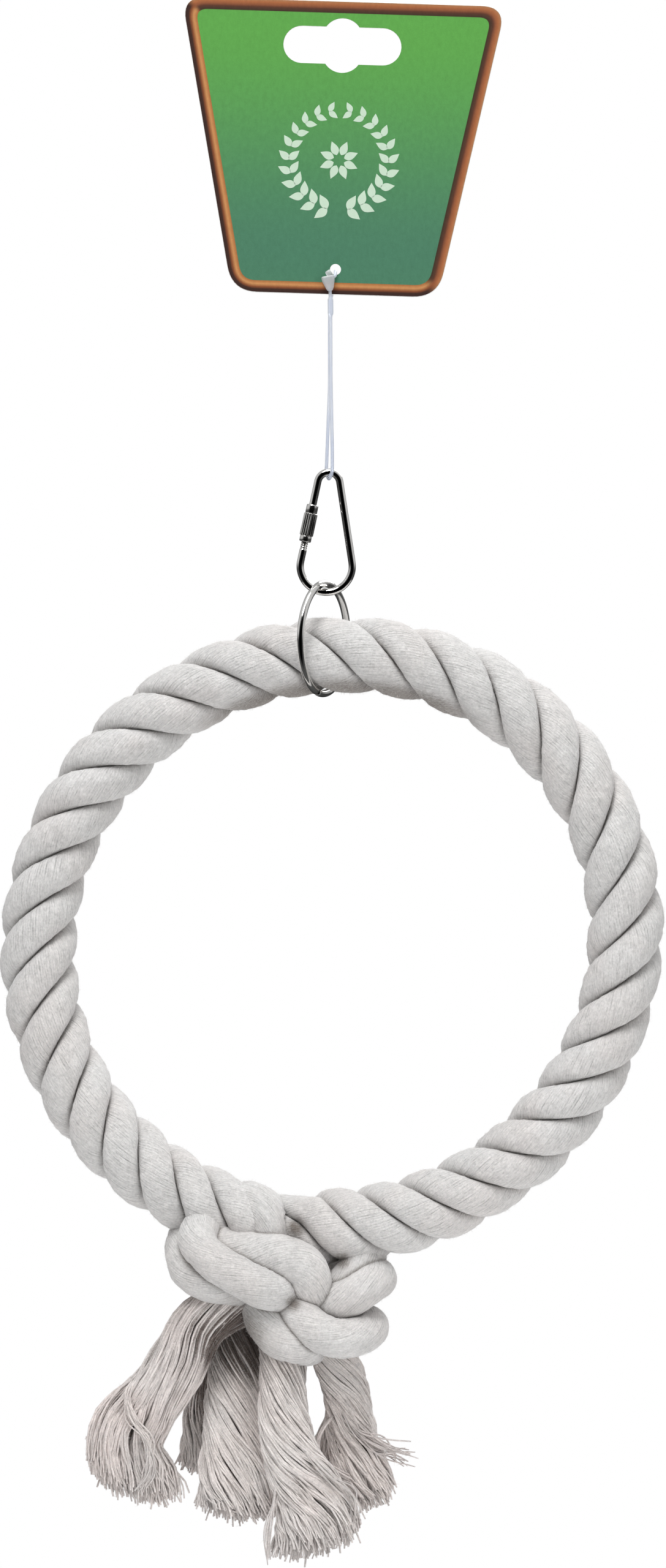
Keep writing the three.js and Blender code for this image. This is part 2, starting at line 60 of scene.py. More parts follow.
# ---- sizes, in millimetres and degrees
# Places are measured from the point of the slot that a peg carries: x right, y back, z up.
CARD_TOP_WIDTH = 88
CARD_BOTTOM_WIDTH = 56
CARD_TOP = 4.6
CARD_BOTTOM = -74.9
CARD_THICKNESS = 0.8
CARD_EDGE_EASE = 0.08
CARD_CORNERS = (7, 7, 6.5, 6.5)
CARD_BORDER = 3.3
CARD_FRONT_INSETS = (0.0, 0.1, 0.3, 0.7, 1.1, 1.5, 1.9, 2.3, 2.7, 3.0, 3.18, 3.3, 3.6)
CARD_BACK_INSETS = (0.0, 0.1)
SLOT_WIDTH = 32
SLOT_END_RADIUS = 5.05
SLOT_BULGE_HALF_WIDTH = 4.5
SLOT_BULGE_RISE = 2.35
SLOT_MIDDLE = -7.4
TAG_HOLE_Z = -68.1
TAG_HOLE_RADIUS = 1.5
WREATH_CENTRE = np.array([0.0, -38.5])
WREATH_RADIUS = 13.5
WREATH_PAIRS = 11
ROSETTE_LEAVES = 8
ROSETTE_RADIUS = 1.5
ROSETTE_LEAF = 4.0

FILAMENT_RADIUS = 0.45
BIGHT_RADIUS = 1.75
SADDLE_RADIUS = 1.15
SADDLE_Z = -69.75
COLLAR_Z = -78.3

LINK_TOP_Z = -123.1
LINK_WIRE_RADIUS = 1.0
LINK_TOP_RADIUS = 3.0
LINK_BOW_RADIUS = 7.05
LINK_LEAN = math.radians(10.393)
LIMB_LENGTH = 22.08
LINK_TOP_CENTRE = -126.1
LINK_BOW_CENTRE = -148.55
UPPER_STUB = 9.6
LOWER_STUB = 15.0
THREAD_END = 19.0
THREAD_PITCH = 0.55
NUT_BOTTOM = 16.8
NUT_COLLAR_RADIUS = 1.6
NUT_BARREL_RADIUS = 1.85
NUT_BORE_RADIUS = 1.3
NUT_FLUTES = 18
NUT_FLUTE_DEPTH = 0.2
WIRE_SIDES = 28

RING_CENTRE_Z = -168.2
RING_MEAN_RADIUS = 14.9
RING_WIRE_RADIUS = 1.0
RING_TURN = math.radians(65)
RING_BUTT_GAP = 0.3
RING_BUTT_ANGLE = math.radians(-14)

ROPE_RADIUS = 10.3
ROPE_CENTRE = np.array([4.736, 0.0, -250.002])
ROPE_RING_RADIUS = 78.5
ROPE_RING_OVAL = 1.75
ROPE_OVAL_AXIS = 60
LEFT_END = -171.5
RIGHT_END = 195.0
LAY_ANGLE = 30.144
LAY_START = 8.7
LAY_DRIFT = 5.1
LAY_DRIFT_AXIS = 113.5
GROOVE_DEPTH = 2.5
CROWN_FULLNESS = 2.6
CREASE_DEPTH = 2.3
CROWN_POINTS = 161
WALL_POINTS = 41
ROPE_ROWS = 580
YARNS = 48
YARN_SLIDE = 68.0
COLUMNS = 120

KNOT_CENTRE = np.array([-6.945, 0.0, -346.44])
KNOT_STRAND_RADIUS = 5.3
KNOT_ROW_STEP = 0.8
KNOT_YARN_LEAN = math.radians(29)
ARCH_SWELL = 1.2
TUCKED_TURNS = ("rope_end_turn", "knot_right_crescent")
TUCKED_SHARE = 0.88

TAIL_STEPS = 24
TAIL_WAIST = 0.9
TAIL_YARN_RADIUS = 0.33
LOOSE_YARN_RADIUS = 0.22
YARN_SIDES = 5
OUTER_YARNS = 0.84
OUTER_BUNDLES = 25
INNER_BUNDLES = 17
GOLDEN_ANGLE = 2.39996

# Fibres on each square metre of the outside, how long they are, and how far they lean in radians
ROPE_FUZZ = 900000.0
KNOT_FUZZ = 600000.0
TAIL_FUZZ = 105000.0
SHORTEST_FIBRE = 0.3
ROPE_FIBRE = 0.9
TAIL_FIBRE = 1.2
FIBRE_LEAN = 1.2

# Painted shade in the knot's hollows, from its centre: right, up and size
KNOT_HOLLOW_SHADE = (
    (-11, -10.5, 9.3), (-18, -11.5, 7), (-16, -17.5, 4), (4.2, -1, 2.4), (17, 10.4, 2.6), (4.4, 18.8, 3),
)
# Routes of the knot's turns, from its centre: right, back, up
KNOT_ROUTES = {
    "knot_front_diagonal": [
        (-19, 2, 19), (-20.8, -5, 18), (-22, -12, 14.4), (-17.4, -15.2, 9.7), (-10, -16, 5.5),
        (-3.6, -14.5, 2.4), (1.2, -9, 1.1), (4.3, -3, 0.8),
    ],
    "knot_lower_right": [
        (1.5, -4, -1), (3.5, -7.5, -3), (6.3, -10.8, -5.3), (11.5, -13.5, -8.7), (17.3, -13.6, -10.3),
        (22.6, -10, -9.4), (25, -3, -7.8), (22, 6, -7), (14, 12, -6.5), (4, 13, -8), (-5, 9, -9),
    ],
    "knot_front_arch": [
        (-18, 2, 14.5), (-16.5, -4, 13.8), (-13, -7.6, 12.4), (-6.9, -9.2, 11.6), (0.9, -10, 10.8),
        (7, -10.2, 7.8), (9, -9.2, 3.2), (8.7, -5, -0.5), (7.3, 0, -2.6),
    ],
    "knot_right_side": [
        (10, -3, -3), (14.4, -7, -1.6), (20.1, -9.6, 1), (24.6, -8, 4), (26.6, -1, 5.4), (25.5, 4, 5),
        (20, 10, 5), (9, 12.5, 3.5), (-3, 11, -1), (-8, 6, -4),
    ],
    "knot_left_side": [
        (4, 9, 6), (-8, 12.5, 9), (-18, 9.5, 13), (-24, 3.5, 15.2), (-25.6, -4, 11.4), (-23.4, -8.4, 6),
        (-18.2, -9.6, 3.1), (-12, -7.5, 2.4), (-6.5, -3, 1.2),
    ],
    "knot_bottom_turn": [
        (-4.6, 0, 0.5), (-4.2, -6.6, -3.4), (-3, -10.2, -6.8), (-0.2, -11.6, -10.4), (4, -10.6, -12.8),
        (8.4, -5.5, -13.2), (9.5, 3, -12.6), (1, 10.5, -12), (-9, 9.5, -9), (-15, 7, -5.5), (-15, 1, -2),
    ],
    "knot_right_crescent": [
        (-2, 2, 12), (3, -3, 11), (7.6, -3.6, 8.6), (9.6, -3.6, 4.6), (9.8, -3, 1), (8.8, -1, -2.5),
    ],
    "knot_inner_turn": [(24, 4, 11), (22, -2.5, 8.6), (18.6, -4.6, 4.6), (15, -3, 1), (11, 1, -2)],
    "rope_end_turn": [
        (-10, 1, 25), (-7.6, -3.4, 25.4), (-4.6, -5.8, 22.8), (-3.2, -6, 18.6), (-2.8, -4.5, 14),
        (-2.8, -1, 10),
    ],
}
# Each tail: route from the knot's centre, width and depth at the top and at the cut end, turns of
# twist left in the yarns, slant of the cut end, and the number of yarns
TAILS = {
    "tail_front_right": (
        [
            (1, -3, -7), (2, -8, -17), (2.4, -11.5, -31), (5, -12.5, -42), (9.4, -12.5, -51),
            (12.6, -12.5, -60), (13, -12.5, -69),
        ],
        (12.5, 11), (27, 14), 0.85, -0.05, 600,
    ),
    "tail_front_left": (
        [
            (-6, -3, 0), (-13, -5, -2.6), (-21, -6.5, -8.6), (-25.4, -6.5, -17), (-29.9, -6, -24.5),
            (-34.9, -5, -31.4), (-39.2, -4.5, -38.5), (-39.8, -4, -46), (-38, -3.5, -55.8),
        ],
        (15, 10), (27, 14), 0.3, 0.1, 650,
    ),
    "tail_middle_left": (
        [
            (-6, 8, -4), (-9.4, 5.5, -13), (-10.9, 1.5, -25), (-10.9, -2, -36), (-10, -4, -47),
            (-8.4, -4.5, -61),
        ],
        (15.5, 10), (23, 13), 0.85, 0.03, 560,
    ),
    "tail_right": (
        [(12, 0, -5), (15.4, -2, -15), (19.3, -1, -26), (20.9, 0, -35), (23.4, 0, -45), (26.6, 0, -57)],
        (12.5, 10), (18, 12), 0.8, -0.02, 470,
    ),
    "tail_back_left": (
        [(-10, 8, -6), (-14.5, 10, -20), (-18.6, 10, -35), (-19.4, 10, -50)],
        (10.5, 9), (14, 11), 0.6, 0.0, 400,
    ),
    "tail_back_right": (
        [(14, 6, -9), (19.5, 10, -22), (19.6, 12, -34), (15.5, 12, -48)],
        (9, 8), (17, 11), 0.6, 0.0, 370,
    ),
}
# Shade of a tail where it leaves the knot: how strong, and how far down it reaches
TAIL_SHADE = {
    "tail_front_right": (0.5, 20),
    "tail_front_left": (0.4, 14),
    "tail_middle_left": (1.0, 13),
    "tail_right": (0.0, 9),
    "tail_back_left": (0.9, 28),
    "tail_back_right": (0.45, 12),
}
# Yarns that have come loose from a tail: route, how many, and how far they spread
LOOSE_YARNS = {
    "tail_right": [
        ([(17, -4, -27), (22, -5, -35), (28, -5, -39.5), (36, -5, -42)], 24, 2.8),
        ([(18, -1, -30), (12.8, -5, -36), (12.4, -6.5, -42), (17, -7, -47), (24, -3, -50)], 9, 1.1),
    ],
    "tail_front_right": [
        ([(0, -12, -42), (1, -15, -52), (-0.2, -17, -62), (-0.4, -17, -70)], 7, 0.9),
        ([(8, -17, -40), (15, -18, -47), (21, -16, -52), (23, -14, -58)], 7, 1.6),
    ],
    "tail_front_left": [
        ([(-30, -9, -24), (-37, -8, -32), (-45, -6, -37), (-51, -4, -40)], 5, 1.0),
        ([
            (-36, -4, -21), (-39.7, -10, -27.1), (-38.4, -11.6, -33.1), (-33.6, -12.2, -40.5),
            (-33.3, -11.5, -48.1), (-35, -10, -53),
        ], 26, 1.3),
    ],
    "tail_middle_left": [
        ([(-12, -7, -38), (-7, -8, -47), (-2, -7, -53), (0, -6, -60)], 6, 1.3),
        ([(-16, -1, -38), (-18.4, -6, -47), (-15, -7.6, -54), (-9, -7.4, -56), (-4, -5, -60)], 22, 1.9),
    ],
}

# ---- colours of the card
PAPER_BUMP = 0.00002
PANEL_FADE = (-0.066, 0.0)
PANEL_LOW = (0.071, 0.217, 0.128, 1)
PANEL_HIGH = (0.115, 0.39, 0.072, 1)
# Rows of place across the border, from its outer edge, and colour
BORDER_CUT = (0.0, 0.62, 0.55, 0.47)
BORDER_LOWER_LEFT = (
    BORDER_CUT, (0.05, 0.04, 0.018, 0.016), (0.3, 0.06, 0.024, 0.015), (0.47, 0.27, 0.08, 0.028),
    (0.7, 0.6, 0.28, 0.1), (1, 0.4, 0.14, 0.04),
)
BORDER_UPPER_RIGHT = (
    BORDER_CUT, (0.05, 0.42, 0.2, 0.09), (0.25, 0.42, 0.14, 0.05), (0.5, 0.26, 0.085, 0.036),
    (0.66, 0.11, 0.04, 0.022), (0.9, 0.06, 0.035, 0.02),
)

# ---- studio, in metres
OBJECT_MIDDLE = (0, 0, -0.22)
FLOOR_Z = -0.46
FLOOR_RADIUS = 0.7
FLOOR_SIDES = 96
CAMERA_LENS = 169.4
CAMERA_PLACE = Vector((0.00367, -2.0, -0.2075))
CAMERA_ROLL = (0.99952, 0.0311)


# ---- numbers and paths
def eased(value):
    """Smooth step from 0 to 1 while the value goes from 0 to 1."""
    value = np.clip(value, 0, 1)
    return value * value * (3 - 2 * value)


def unit(vectors):
    return vectors / np.linalg.norm(vectors, axis=-1, keepdims=True)


def distances(points):
    """How far along the line each point lies."""
    steps = np.linalg.norm(np.diff(points, axis=0), axis=1)
    return np.concatenate([[0], np.cumsum(steps)])


def looked_up(at, places, values):
    """Rows of values read at other places along them."""
    return np.stack([np.interp(at, places, column) for column in values.T], -1)


def even_path(points, count):
    """The same line with evenly spaced points."""
    along = distances(points)
    return looked_up(np.linspace(0, along[-1], count), along, points)


def smooth_path(rows, count):
    """Evenly spaced points on a smooth curve through the rows."""
    rows = np.asarray(rows, float)
    padded = np.vstack([2 * rows[0] - rows[1], rows, 2 * rows[-1] - rows[-2]])
    share = np.linspace(0, 1, 24, endpoint=False)[:, None]
    square, cube = share**2, share**3
    pieces = []
    for before, a, b, after in zip(padded, padded[1:], padded[2:], padded[3:]):
        d0, d1, d2 = (math.sqrt(np.linalg.norm(way)) for way in (a - before, b - a, after - b))
        ta = ((a - before) / d0 - (b - before) / (d0 + d1) + (b - a) / d1) * d1
        tb = ((b - a) / d1 - (after - a) / (d1 + d2) + (after - b) / d2) * d1
        curve = (2 * cube - 3 * square + 1) * a + (cube - 2 * square + share) * ta
        pieces.append(curve + (3 * square - 2 * cube) * b + (cube - square) * tb)
    return even_path(np.vstack(pieces + [rows[-1:]]), count)


def frames_along(points, first):
    """Normal and third direction at each point of a line, without needless turning."""
    ahead = unit(np.gradient(points, axis=0))
    normal = np.zeros_like(points)
    last = np.asarray(first, float)
    for i, direction in enumerate(ahead):
        last = last - direction * np.dot(last, direction)
        last = last / np.linalg.norm(last)
        normal[i] = last
    return normal, np.cross(ahead, normal)


def tube(points, radius, sides, first=FRONT, twist=0.0):
    """Grid of rings round a line. The radius is one number, or one for each ring or point."""
    normal, other = frames_along(points, first)
    turn = (np.arange(sides)[None, :] * TWO_PI / sides + np.reshape(twist, (-1, 1)))[..., None]
    radius = np.asarray(radius, float)
    if radius.ndim == 1:
        radius = radius[:, None]
    radius = np.broadcast_to(radius, (len(points), sides))[..., None]
    around = np.cos(turn) * normal[:, None] + np.sin(turn) * other[:, None]
    return points[:, None] + radius * around


def waves(values, rng, lengths, axis_shift=None):
    """Smooth wander from about -1 to 1 along the values, from a few sine waves."""
    total = np.zeros(np.broadcast(values, 0 if axis_shift is None else axis_shift).shape)
    for length in lengths:
        shift = rng.uniform(0, TWO_PI) if axis_shift is None else axis_shift * rng.uniform(3, 9)
        total = total + np.sin(values * TWO_PI / length + shift)
    return total / math.sqrt(len(lengths))


def lumps(along, rng, height, swell):
    """Uneven rises of soft cotton over rows of columns, with slow swelling along the rows."""
    around = np.arange(COLUMNS) * TWO_PI / COLUMNS
    total = np.zeros((len(along), COLUMNS))
    for length in np.linspace(2.6, 11, 14):
        times = rng.integers(-11, 12)
        phase = rng.uniform(0, TWO_PI)
        total += np.sin(times * around[None, :] + along[:, None] * TWO_PI / length + phase)
    return height * total / math.sqrt(7) + swell * waves(along, rng, (61, 29, 15))[:, None]


def tilted(grid, lean):
    """Points turned about the y axis, so that what stood upright leans to the right."""
    c, s = math.cos(lean), math.sin(lean)
    x = grid[..., 0] * c + grid[..., 2] * s
    z = -grid[..., 0] * s + grid[..., 2] * c
    return np.stack([x, grid[..., 1], z], -1)


# ---- meshes
def new_object(name, data, *materials):
    for material in materials:
        data.materials.append(material)
    made = bpy.data.objects.new(name, data)
    bpy.context.scene.collection.objects.link(made)
    return made


def new_mesh(name, points, edges=(), faces=()):
    mesh = bpy.data.meshes.new(name)
    mesh.from_pydata(points, edges, faces)
    return mesh


def store(mesh, values):
    """Named numbers on the points of a mesh."""
    for label, numbers in values.items():
        layer = mesh.attributes.new(label, "FLOAT", "POINT")
        layer.data.foreach_set("value", np.ravel(numbers))


def map_yarns(mesh, along, across, reverse):
    """UV map of length and yarn number over rows of quads, with nothing on the two end caps."""
    place = np.stack(np.meshgrid(along, across, indexing="ij"), -1)
    loops = np.stack([place[:-1, :-1], place[:-1, 1:], place[1:, 1:], place[1:, :-1]], 2)
    loops = loops.reshape(-1, 4, 2)
    loops = (loops[:, ::-1] if reverse else loops).reshape(-1, 2)
    caps = np.zeros((2 * (len(across) - 1), 2))
    values = np.vstack([loops, caps]).astype(np.float32)
    mesh.uv_layers.new(name="yarn").data.foreach_set("uv", values.ravel())


def skin(name, grid, *materials, along=None, across=None, masks=None, closed=False):
    """Closed surface over rows of rings, with a yarn map and point masks where given."""
    rows, columns, _ = grid.shape
    number = np.arange(rows * columns).reshape(rows, columns)
    if closed:
        number = np.vstack([number, number[:1]])
    turned = np.roll(number, -1, axis=1)
    quads = np.stack([number[:-1], turned[:-1], turned[1:], number[1:]], -1).reshape(-1, 4)
    corners = grid.reshape(-1, 3)
    middle = corners.mean(axis=0)
    a, b, c = (corners[quads[:, i]] - middle for i in range(3))
    inward = np.einsum("ij,ij->i", a, np.cross(b, c)).sum() < 0
    faces = (quads[:, ::-1] if inward else quads).tolist()
    smooth = [True] * len(faces)
    if not closed:
        first, final = number[0].tolist(), number[-1].tolist()
        faces += [first, final[::-1]] if inward else [first[::-1], final]
        smooth += [False, False]
    mesh = new_mesh(name, (corners * MM).tolist(), faces=faces)
    if along is not None:
        map_yarns(mesh, along, across, inward)
    store(mesh, masks or {})
    mesh.polygons.foreach_set("use_smooth", smooth)
    mesh.update()
    return new_object(name, mesh, *materials)


def joined(name, *pieces):
    """One object from several."""
    for piece in bpy.context.scene.objects:
        piece.select_set(piece in pieces)
    bpy.context.view_layer.objects.active = pieces[0]
    bpy.ops.object.join()
    pieces[0].name = name
    pieces[0].data.name = name
    return pieces[0]


def discarded(source):
    mesh = source.data
    bpy.data.objects.remove(source)
    bpy.data.meshes.remove(mesh)


# ---- nodes
class Flow:
    """Output of a node. Arithmetic with it adds math nodes to its tree."""

    def __init__(self, socket):
        self.socket, self.tree = socket, socket.id_data

    def math(self, operation, *others):
        values = dict(enumerate((self, *others)))
        return added(self.tree, "ShaderNodeMath", values, operation=operation)

    def __add__(self, other):
        return self.math("ADD", other)

    def __sub__(self, other):
        return self.math("SUBTRACT", other)

    def __mul__(self, other):
        return self.math("MULTIPLY", other)


def feed(node, values):
    """Sets a node's inputs to plain values, or links them to the flows that feed them."""
    for key, value in values.items():
        if isinstance(value, Flow):
            node.id_data.links.new(value.socket, node.inputs[key])
        else:
            node.inputs[key].default_value = value


def put(tree, kind, values=None, **settings):
    """Adds a node with its settings and inputs."""
    node = tree.nodes.new(kind)
    for key, value in settings.items():
        setattr(node, key, value)
    feed(node, values or {})
    return node


def added(tree, kind, values=None, output=0, **settings):
    """Adds a node and gives one of its outputs."""
    return Flow(put(tree, kind, values, **settings).outputs[output])


def flows(node):
    """All outputs of a node by name."""
    return {socket.name: Flow(socket) for socket in node.outputs}


def ramped(value, low, high, start=0.0, end=1.0):
    """Smooth change from start to end while the value goes from low to high."""
    numbers = {"Value": value, "From Min": low, "From Max": high, "To Min": start, "To Max": end}
    return added(value.tree, "ShaderNodeMapRange", numbers, interpolation_type="SMOOTHSTEP")


def mixed(share, first, second):
    return added(share.tree, "ShaderNodeMix", {0: share, 6: first, 7: second}, 2, data_type="RGBA")


def graded(colour, level):
    """The colour, darker or lighter by the level."""
    grey = added(level.tree, "ShaderNodeCombineColor", {i: level for i in range(3)})
    values = {0: 1.0, 6: colour, 7: grey}
    return added(level.tree, "ShaderNodeMix", values, 2, data_type="RGBA", blend_type="MULTIPLY")


def colour_ramp(value, stops):
    """Colours that blend along a value, from rows of place and colour."""
    node = put(value.tree, "ShaderNodeValToRGB", {0: value})
    elements = node.color_ramp.elements
    for i, (position, *colour) in enumerate(stops):
        stop = elements[i] if i < 2 else elements.new(position)
        stop.position = position
        stop.color = (*colour, 1)
    return Flow(node.outputs[0])


def noise(place, scale, detail=2.0, rough=0.5):
    numbers = {"Vector": place, "Scale": scale, "Detail": detail, "Roughness": rough}
    return added(place.tree, "ShaderNodeTexNoise", numbers)


def stretched(place, x, y, z=1.0):
    return added(place.tree, "ShaderNodeVectorMath", {0: place, 1: (x, y, z)}, operation="MULTIPLY")


def parts_of(vector):
    return flows(put(vector.tree, "ShaderNodeSeparateXYZ", {0: vector}))


def bumped(height, distance):
    numbers = {"Height": height, "Distance": distance, "Strength": 1.0}
    return added(height.tree, "ShaderNodeBump", numbers)


def object_place(tree):
    return added(tree, "ShaderNodeTexCoord", output="Object")


def mask(tree, label):
    """Numbers that a mesh stores on its points, for a material."""
    return added(tree, "ShaderNodeAttribute", output="Fac", attribute_name=label)


def stored(tree, label):
    """Numbers that a mesh stores on its points, for a geometry tree."""
    return added(tree, "GeometryNodeInputNamedAttribute", {"Name": label}, data_type="FLOAT")


def node_group(name, kind, inputs, outputs):
    """Node group with named inputs and outputs: its tree, what is given to it, and its result."""
    tree = bpy.data.node_groups.new(name, f"{kind}NodeTree")
    for way, sockets in (("INPUT", inputs), ("OUTPUT", outputs)):
        for label, socket in sockets.items():
            tree.interface.new_socket(label, in_out=way, socket_type=f"NodeSocket{socket}")
    return tree, flows(tree.nodes.new("NodeGroupInput")), tree.nodes.new("NodeGroupOutput")


def shader_group(name, vectors, numbers, results):
    inputs = {**dict.fromkeys(vectors, "Vector"), **dict.fromkeys(numbers, "Float")}
    return node_group(name, "Shader", inputs, dict.fromkeys(results, "Float"))


def geometry_tree(name, inputs):
    shape = {"Geometry": "Geometry"}
    return node_group(name, "Geometry", {**shape, **inputs}, shape)


def finished(geometry, finish, result):
    """Ends a geometry tree with real meshes in one material."""
    real = added(geometry.tree, "GeometryNodeRealizeInstances", {"Geometry": geometry})
    done = added(geometry.tree, "GeometryNodeSetMaterial", {"Geometry": real, "Material": finish})
    feed(result, {"Geometry": done})
    return geometry.tree


def grouped(tree, group, values):
    return flows(put(tree, "ShaderNodeGroup", values, node_tree=group))


def grown(name, source, tree, values):
    """Plain mesh object from the source put through a geometry node tree."""
    modifier = source.modifiers.new("grow", "NODES")
    modifier.node_group = tree
    for item in tree.interface.items_tree:
        if item.in_out == "INPUT" and item.name in values:
            modifier[item.identifier] = values[item.name]
    graph = bpy.context.evaluated_depsgraph_get()
    mesh = bpy.data.meshes.new_from_object(source.evaluated_get(graph))
    mesh.name = name
    source.modifiers.remove(modifier)
    return new_object(name, mesh)


# ---- effects that finishes share
def cotton_yarn_group():
    """Brightness with painted shade between yarns, height, and painted shade of spun cotton from a map of
    length and yarn number.
    """
    tree, given, result = shader_group(
        "cotton_yarn",
        ("Yarn map", "Place"),
        ("Hollow", "Gap depth", "Streak", "Grit", "Soil", "Fineness"),
        ("Brightness", "Height", "Blush", "Shade"),
    )
    yarn_map, place, hollow, rough = (given[key] for key in ("Yarn map", "Place", "Hollow", "Grit"))
    gap = ramped(parts_of(yarn_map)["Y"].math("PINGPONG", 0.5), 0.0, 0.3, 1.0, 0.0)
    broken = ramped(noise(stretched(yarn_map, 0.11, 0.9), 1.0), 0.42, 0.68)
    patchy = ramped(noise(place, 130.0), 0.35, 0.65, 0.25, 1.0)
    # Painted shade in the gaps between yarns, in broken patches
    gap_shade = gap * broken * patchy * given["Gap depth"]
    streak = noise(stretched(yarn_map, 0.16, 1.3), 1.0, 4.0, 0.6) - 0.5
    fibre = noise(stretched(yarn_map, 0.8, 2.4), given["Fineness"], 4.0, 0.65)
    grit = noise(place, 1500.0, 4.0, 0.7) - 0.5
    mottle = noise(place, 420.0, 3.0, 0.6) - 0.5
    uneven = (fibre - 0.5) * (rough * 1.4) + grit * rough + mottle * (rough * 0.5)
    dirt = ramped(noise(place, 900.0, 4.0, 0.7), 0.5, 0.75) * patchy * given["Soil"]
    fluff = noise(place, 1100.0, 5.0, 0.75)
    # Shade output: painted shade where the given mask is high, broken up by the fibre
    ragged = (fibre - 0.5) * 1.4 + hollow
    feed(result, {
        "Brightness": streak * given["Streak"] + 1.0 + uneven - (gap_shade + dirt),
        "Height": fibre * 0.7 + fluff * 0.9 - gap * 0.16,
        "Blush": ramped(noise(place, 55.0), 0.35, 0.7),
        "Shade": ramped(ragged, 0.15, 1.05) * ramped(hollow, 0.0, 0.25),
    })
    return tree


def plated_wear_group():
    """Roughness, height and tarnish of bright plating with light handling marks."""
    results = ("Roughness", "Height", "Tarnish")
    tree, given, result = shader_group("plated_wear", ("Place",), ("Polish",), results)
    place = given["Place"]
    feed(result, {
        "Roughness": ramped(noise(place, 180.0, 3.0), 0.4, 0.75) * 0.06 + given["Polish"],
        "Height": noise(place, 500.0),
        "Tarnish": ramped(noise(place, 90.0, 3.0), 0.5, 0.8),
    })
    return tree


def paper_grain_group():
    """Fine mottled paper fibre."""
    tree, given, result = shader_group("paper_grain", ("Place",), (), ("Grain", "Height"))
    down = noise(stretched(given["Place"], 900.0, 300.0, 560.0), 1.0, 4.0, 0.65)
    fine = noise(given["Place"], 2600.0)
    feed(result, {"Grain": down * 0.7 + fine * 0.3, "Height": fine})
    return tree


cotton_group = cotton_yarn_group()
plated_group = plated_wear_group()
paper_group = paper_grain_group()


# ---- finishes
def new_material(name, dress, *values):
    """Material whose surface takes what the dress function builds in its tree."""
    material = bpy.data.materials.new(name)
    material.use_nodes = True
    feed(material.node_tree.nodes["Principled BSDF"], dress(material.node_tree, *values))
    return material


def cotton(tree, values, bump, pale, warm, deep):
    yarn_map = added(tree, "ShaderNodeUVMap", uv_map="yarn")
    given = {"Yarn map": yarn_map, "Place": object_place(tree), "Hollow": mask(tree, "hollow")}
    yarn = grouped(tree, cotton_group, {**values, **given})
    # The shade output blends the colour toward the deep colour: painted shade
    colour = graded(mixed(yarn["Blush"], pale, warm), yarn["Brightness"])
    return {
        "Base Color": mixed(yarn["Shade"], colour, deep),
        "Normal": bumped(yarn["Height"], bump),
        "Roughness": 0.95,
        "Specular IOR Level": 0.1,
        "Sheen Weight": 0.4,
        "Sheen Roughness": 0.5,
    }


def plated(tree, polish, bright, dull, bump):
    wear = grouped(tree, plated_group, {"Place": object_place(tree), "Polish": polish})
    return {
        "Base Color": mixed(wear["Tarnish"], bright, dull),
        "Roughness": wear["Roughness"],
        "Normal": bumped(wear["Height"], bump),
        "Metallic": 1.0,
    }


def paper(tree, colour, rough, contrast=0.2):
    grain = grouped(tree, paper_group, {"Place": object_place(tree)})
    return {
        "Base Color": graded(colour, grain["Grain"] * contrast + (1 - contrast / 2)),
        "Normal": bumped(grain["Height"], PAPER_BUMP),
        "Roughness": rough,
    }


def printed_card(tree):
    """Green panel that grows lighter upward, inside a border that looks rounded."""
    edge = mask(tree, "edge")
    panel = mixed(ramped(parts_of(object_place(tree))["Z"], *PANEL_FADE), PANEL_LOW, PANEL_HIGH)
    across = edge.math("DIVIDE", CARD_BORDER)
    sides = [colour_ramp(across, stops) for stops in (BORDER_LOWER_LEFT, BORDER_UPPER_RIGHT)]
    border = mixed(ramped(mask(tree, "facing"), -0.5, 0.5), *sides)
    colour = mixed(ramped(edge, CARD_BORDER - 0.12, CARD_BORDER - 0.02), border, panel)
    return {**paper(tree, colour, 0.55, 0.5), "Specular IOR Level": 0.3}


def plastic(tree, cool, white, clearness):
    cloud = ramped(noise(stretched(object_place(tree), 1.0, 1.0, 0.2), 400.0), 0.35, 0.7)
    colour = mixed(cloud, cool, white)
    return {"Base Color": colour, "Roughness": 0.3, "Transmission Weight": clearness, "IOR": 1.5}


def matt(tree, colour, rough, gloss=0.5):
    return {"Base Color": colour, "Roughness": rough, "Specular IOR Level": gloss}


# The last colour of each cotton is its painted shade colour
cotton_rope = new_material(
    "cotton_rope", cotton,
    {"Gap depth": 0.36, "Streak": 0.5, "Grit": 0.58, "Soil": 0.18, "Fineness": 1.0}, 0.0005,
    (0.80, 0.788, 0.778, 1), (0.795, 0.765, 0.75, 1), (0.21, 0.18, 0.158, 1),
)
cotton_tail = new_material(
    "cotton_tail", cotton,
    {"Gap depth": 0.06, "Streak": 1.3, "Grit": 0.55, "Soil": 0.2, "Fineness": 2.6}, 0.0004,
    (0.88, 0.826, 0.8, 1), (0.86, 0.78, 0.748, 1), (0.125, 0.094, 0.08, 1),
)
cotton_fuzz = new_material("cotton_fuzz", matt, (0.86, 0.84, 0.82, 1), 0.9, 0.1)
nickel, nickel_ring, nickel_nut = (
    new_material(name, plated, *values)
    for name, *values in (
        ("nickel", 0.07, (0.83, 0.82, 0.80, 1), (0.66, 0.65, 0.64, 1), 0.000003),
        ("nickel_ring", 0.1, (0.86, 0.85, 0.83, 1), (0.74, 0.73, 0.71, 1), 0.000004),
        ("nickel_nut", 0.16, (0.78, 0.77, 0.75, 1), (0.55, 0.54, 0.53, 1), 0.00001),
    )
)
card_print = new_material("card_print", printed_card)
card_back = new_material("card_back", paper, (0.74, 0.73, 0.70, 1), 0.7)
card_core = new_material("card_core", paper, (0.86, 0.85, 0.82, 1), 0.8)
card_leaf = new_material("card_leaf", paper, (0.60, 0.76, 0.60, 1), 0.55)
loop_plastic = new_material("loop_plastic", plastic, (0.74, 0.79, 0.90, 1), (0.86, 0.89, 0.95, 1), 0.4)
loop_clear = new_material("loop_clear", plastic, (0.86, 0.87, 0.89, 1), (0.93, 0.94, 0.95, 1), 0.62)


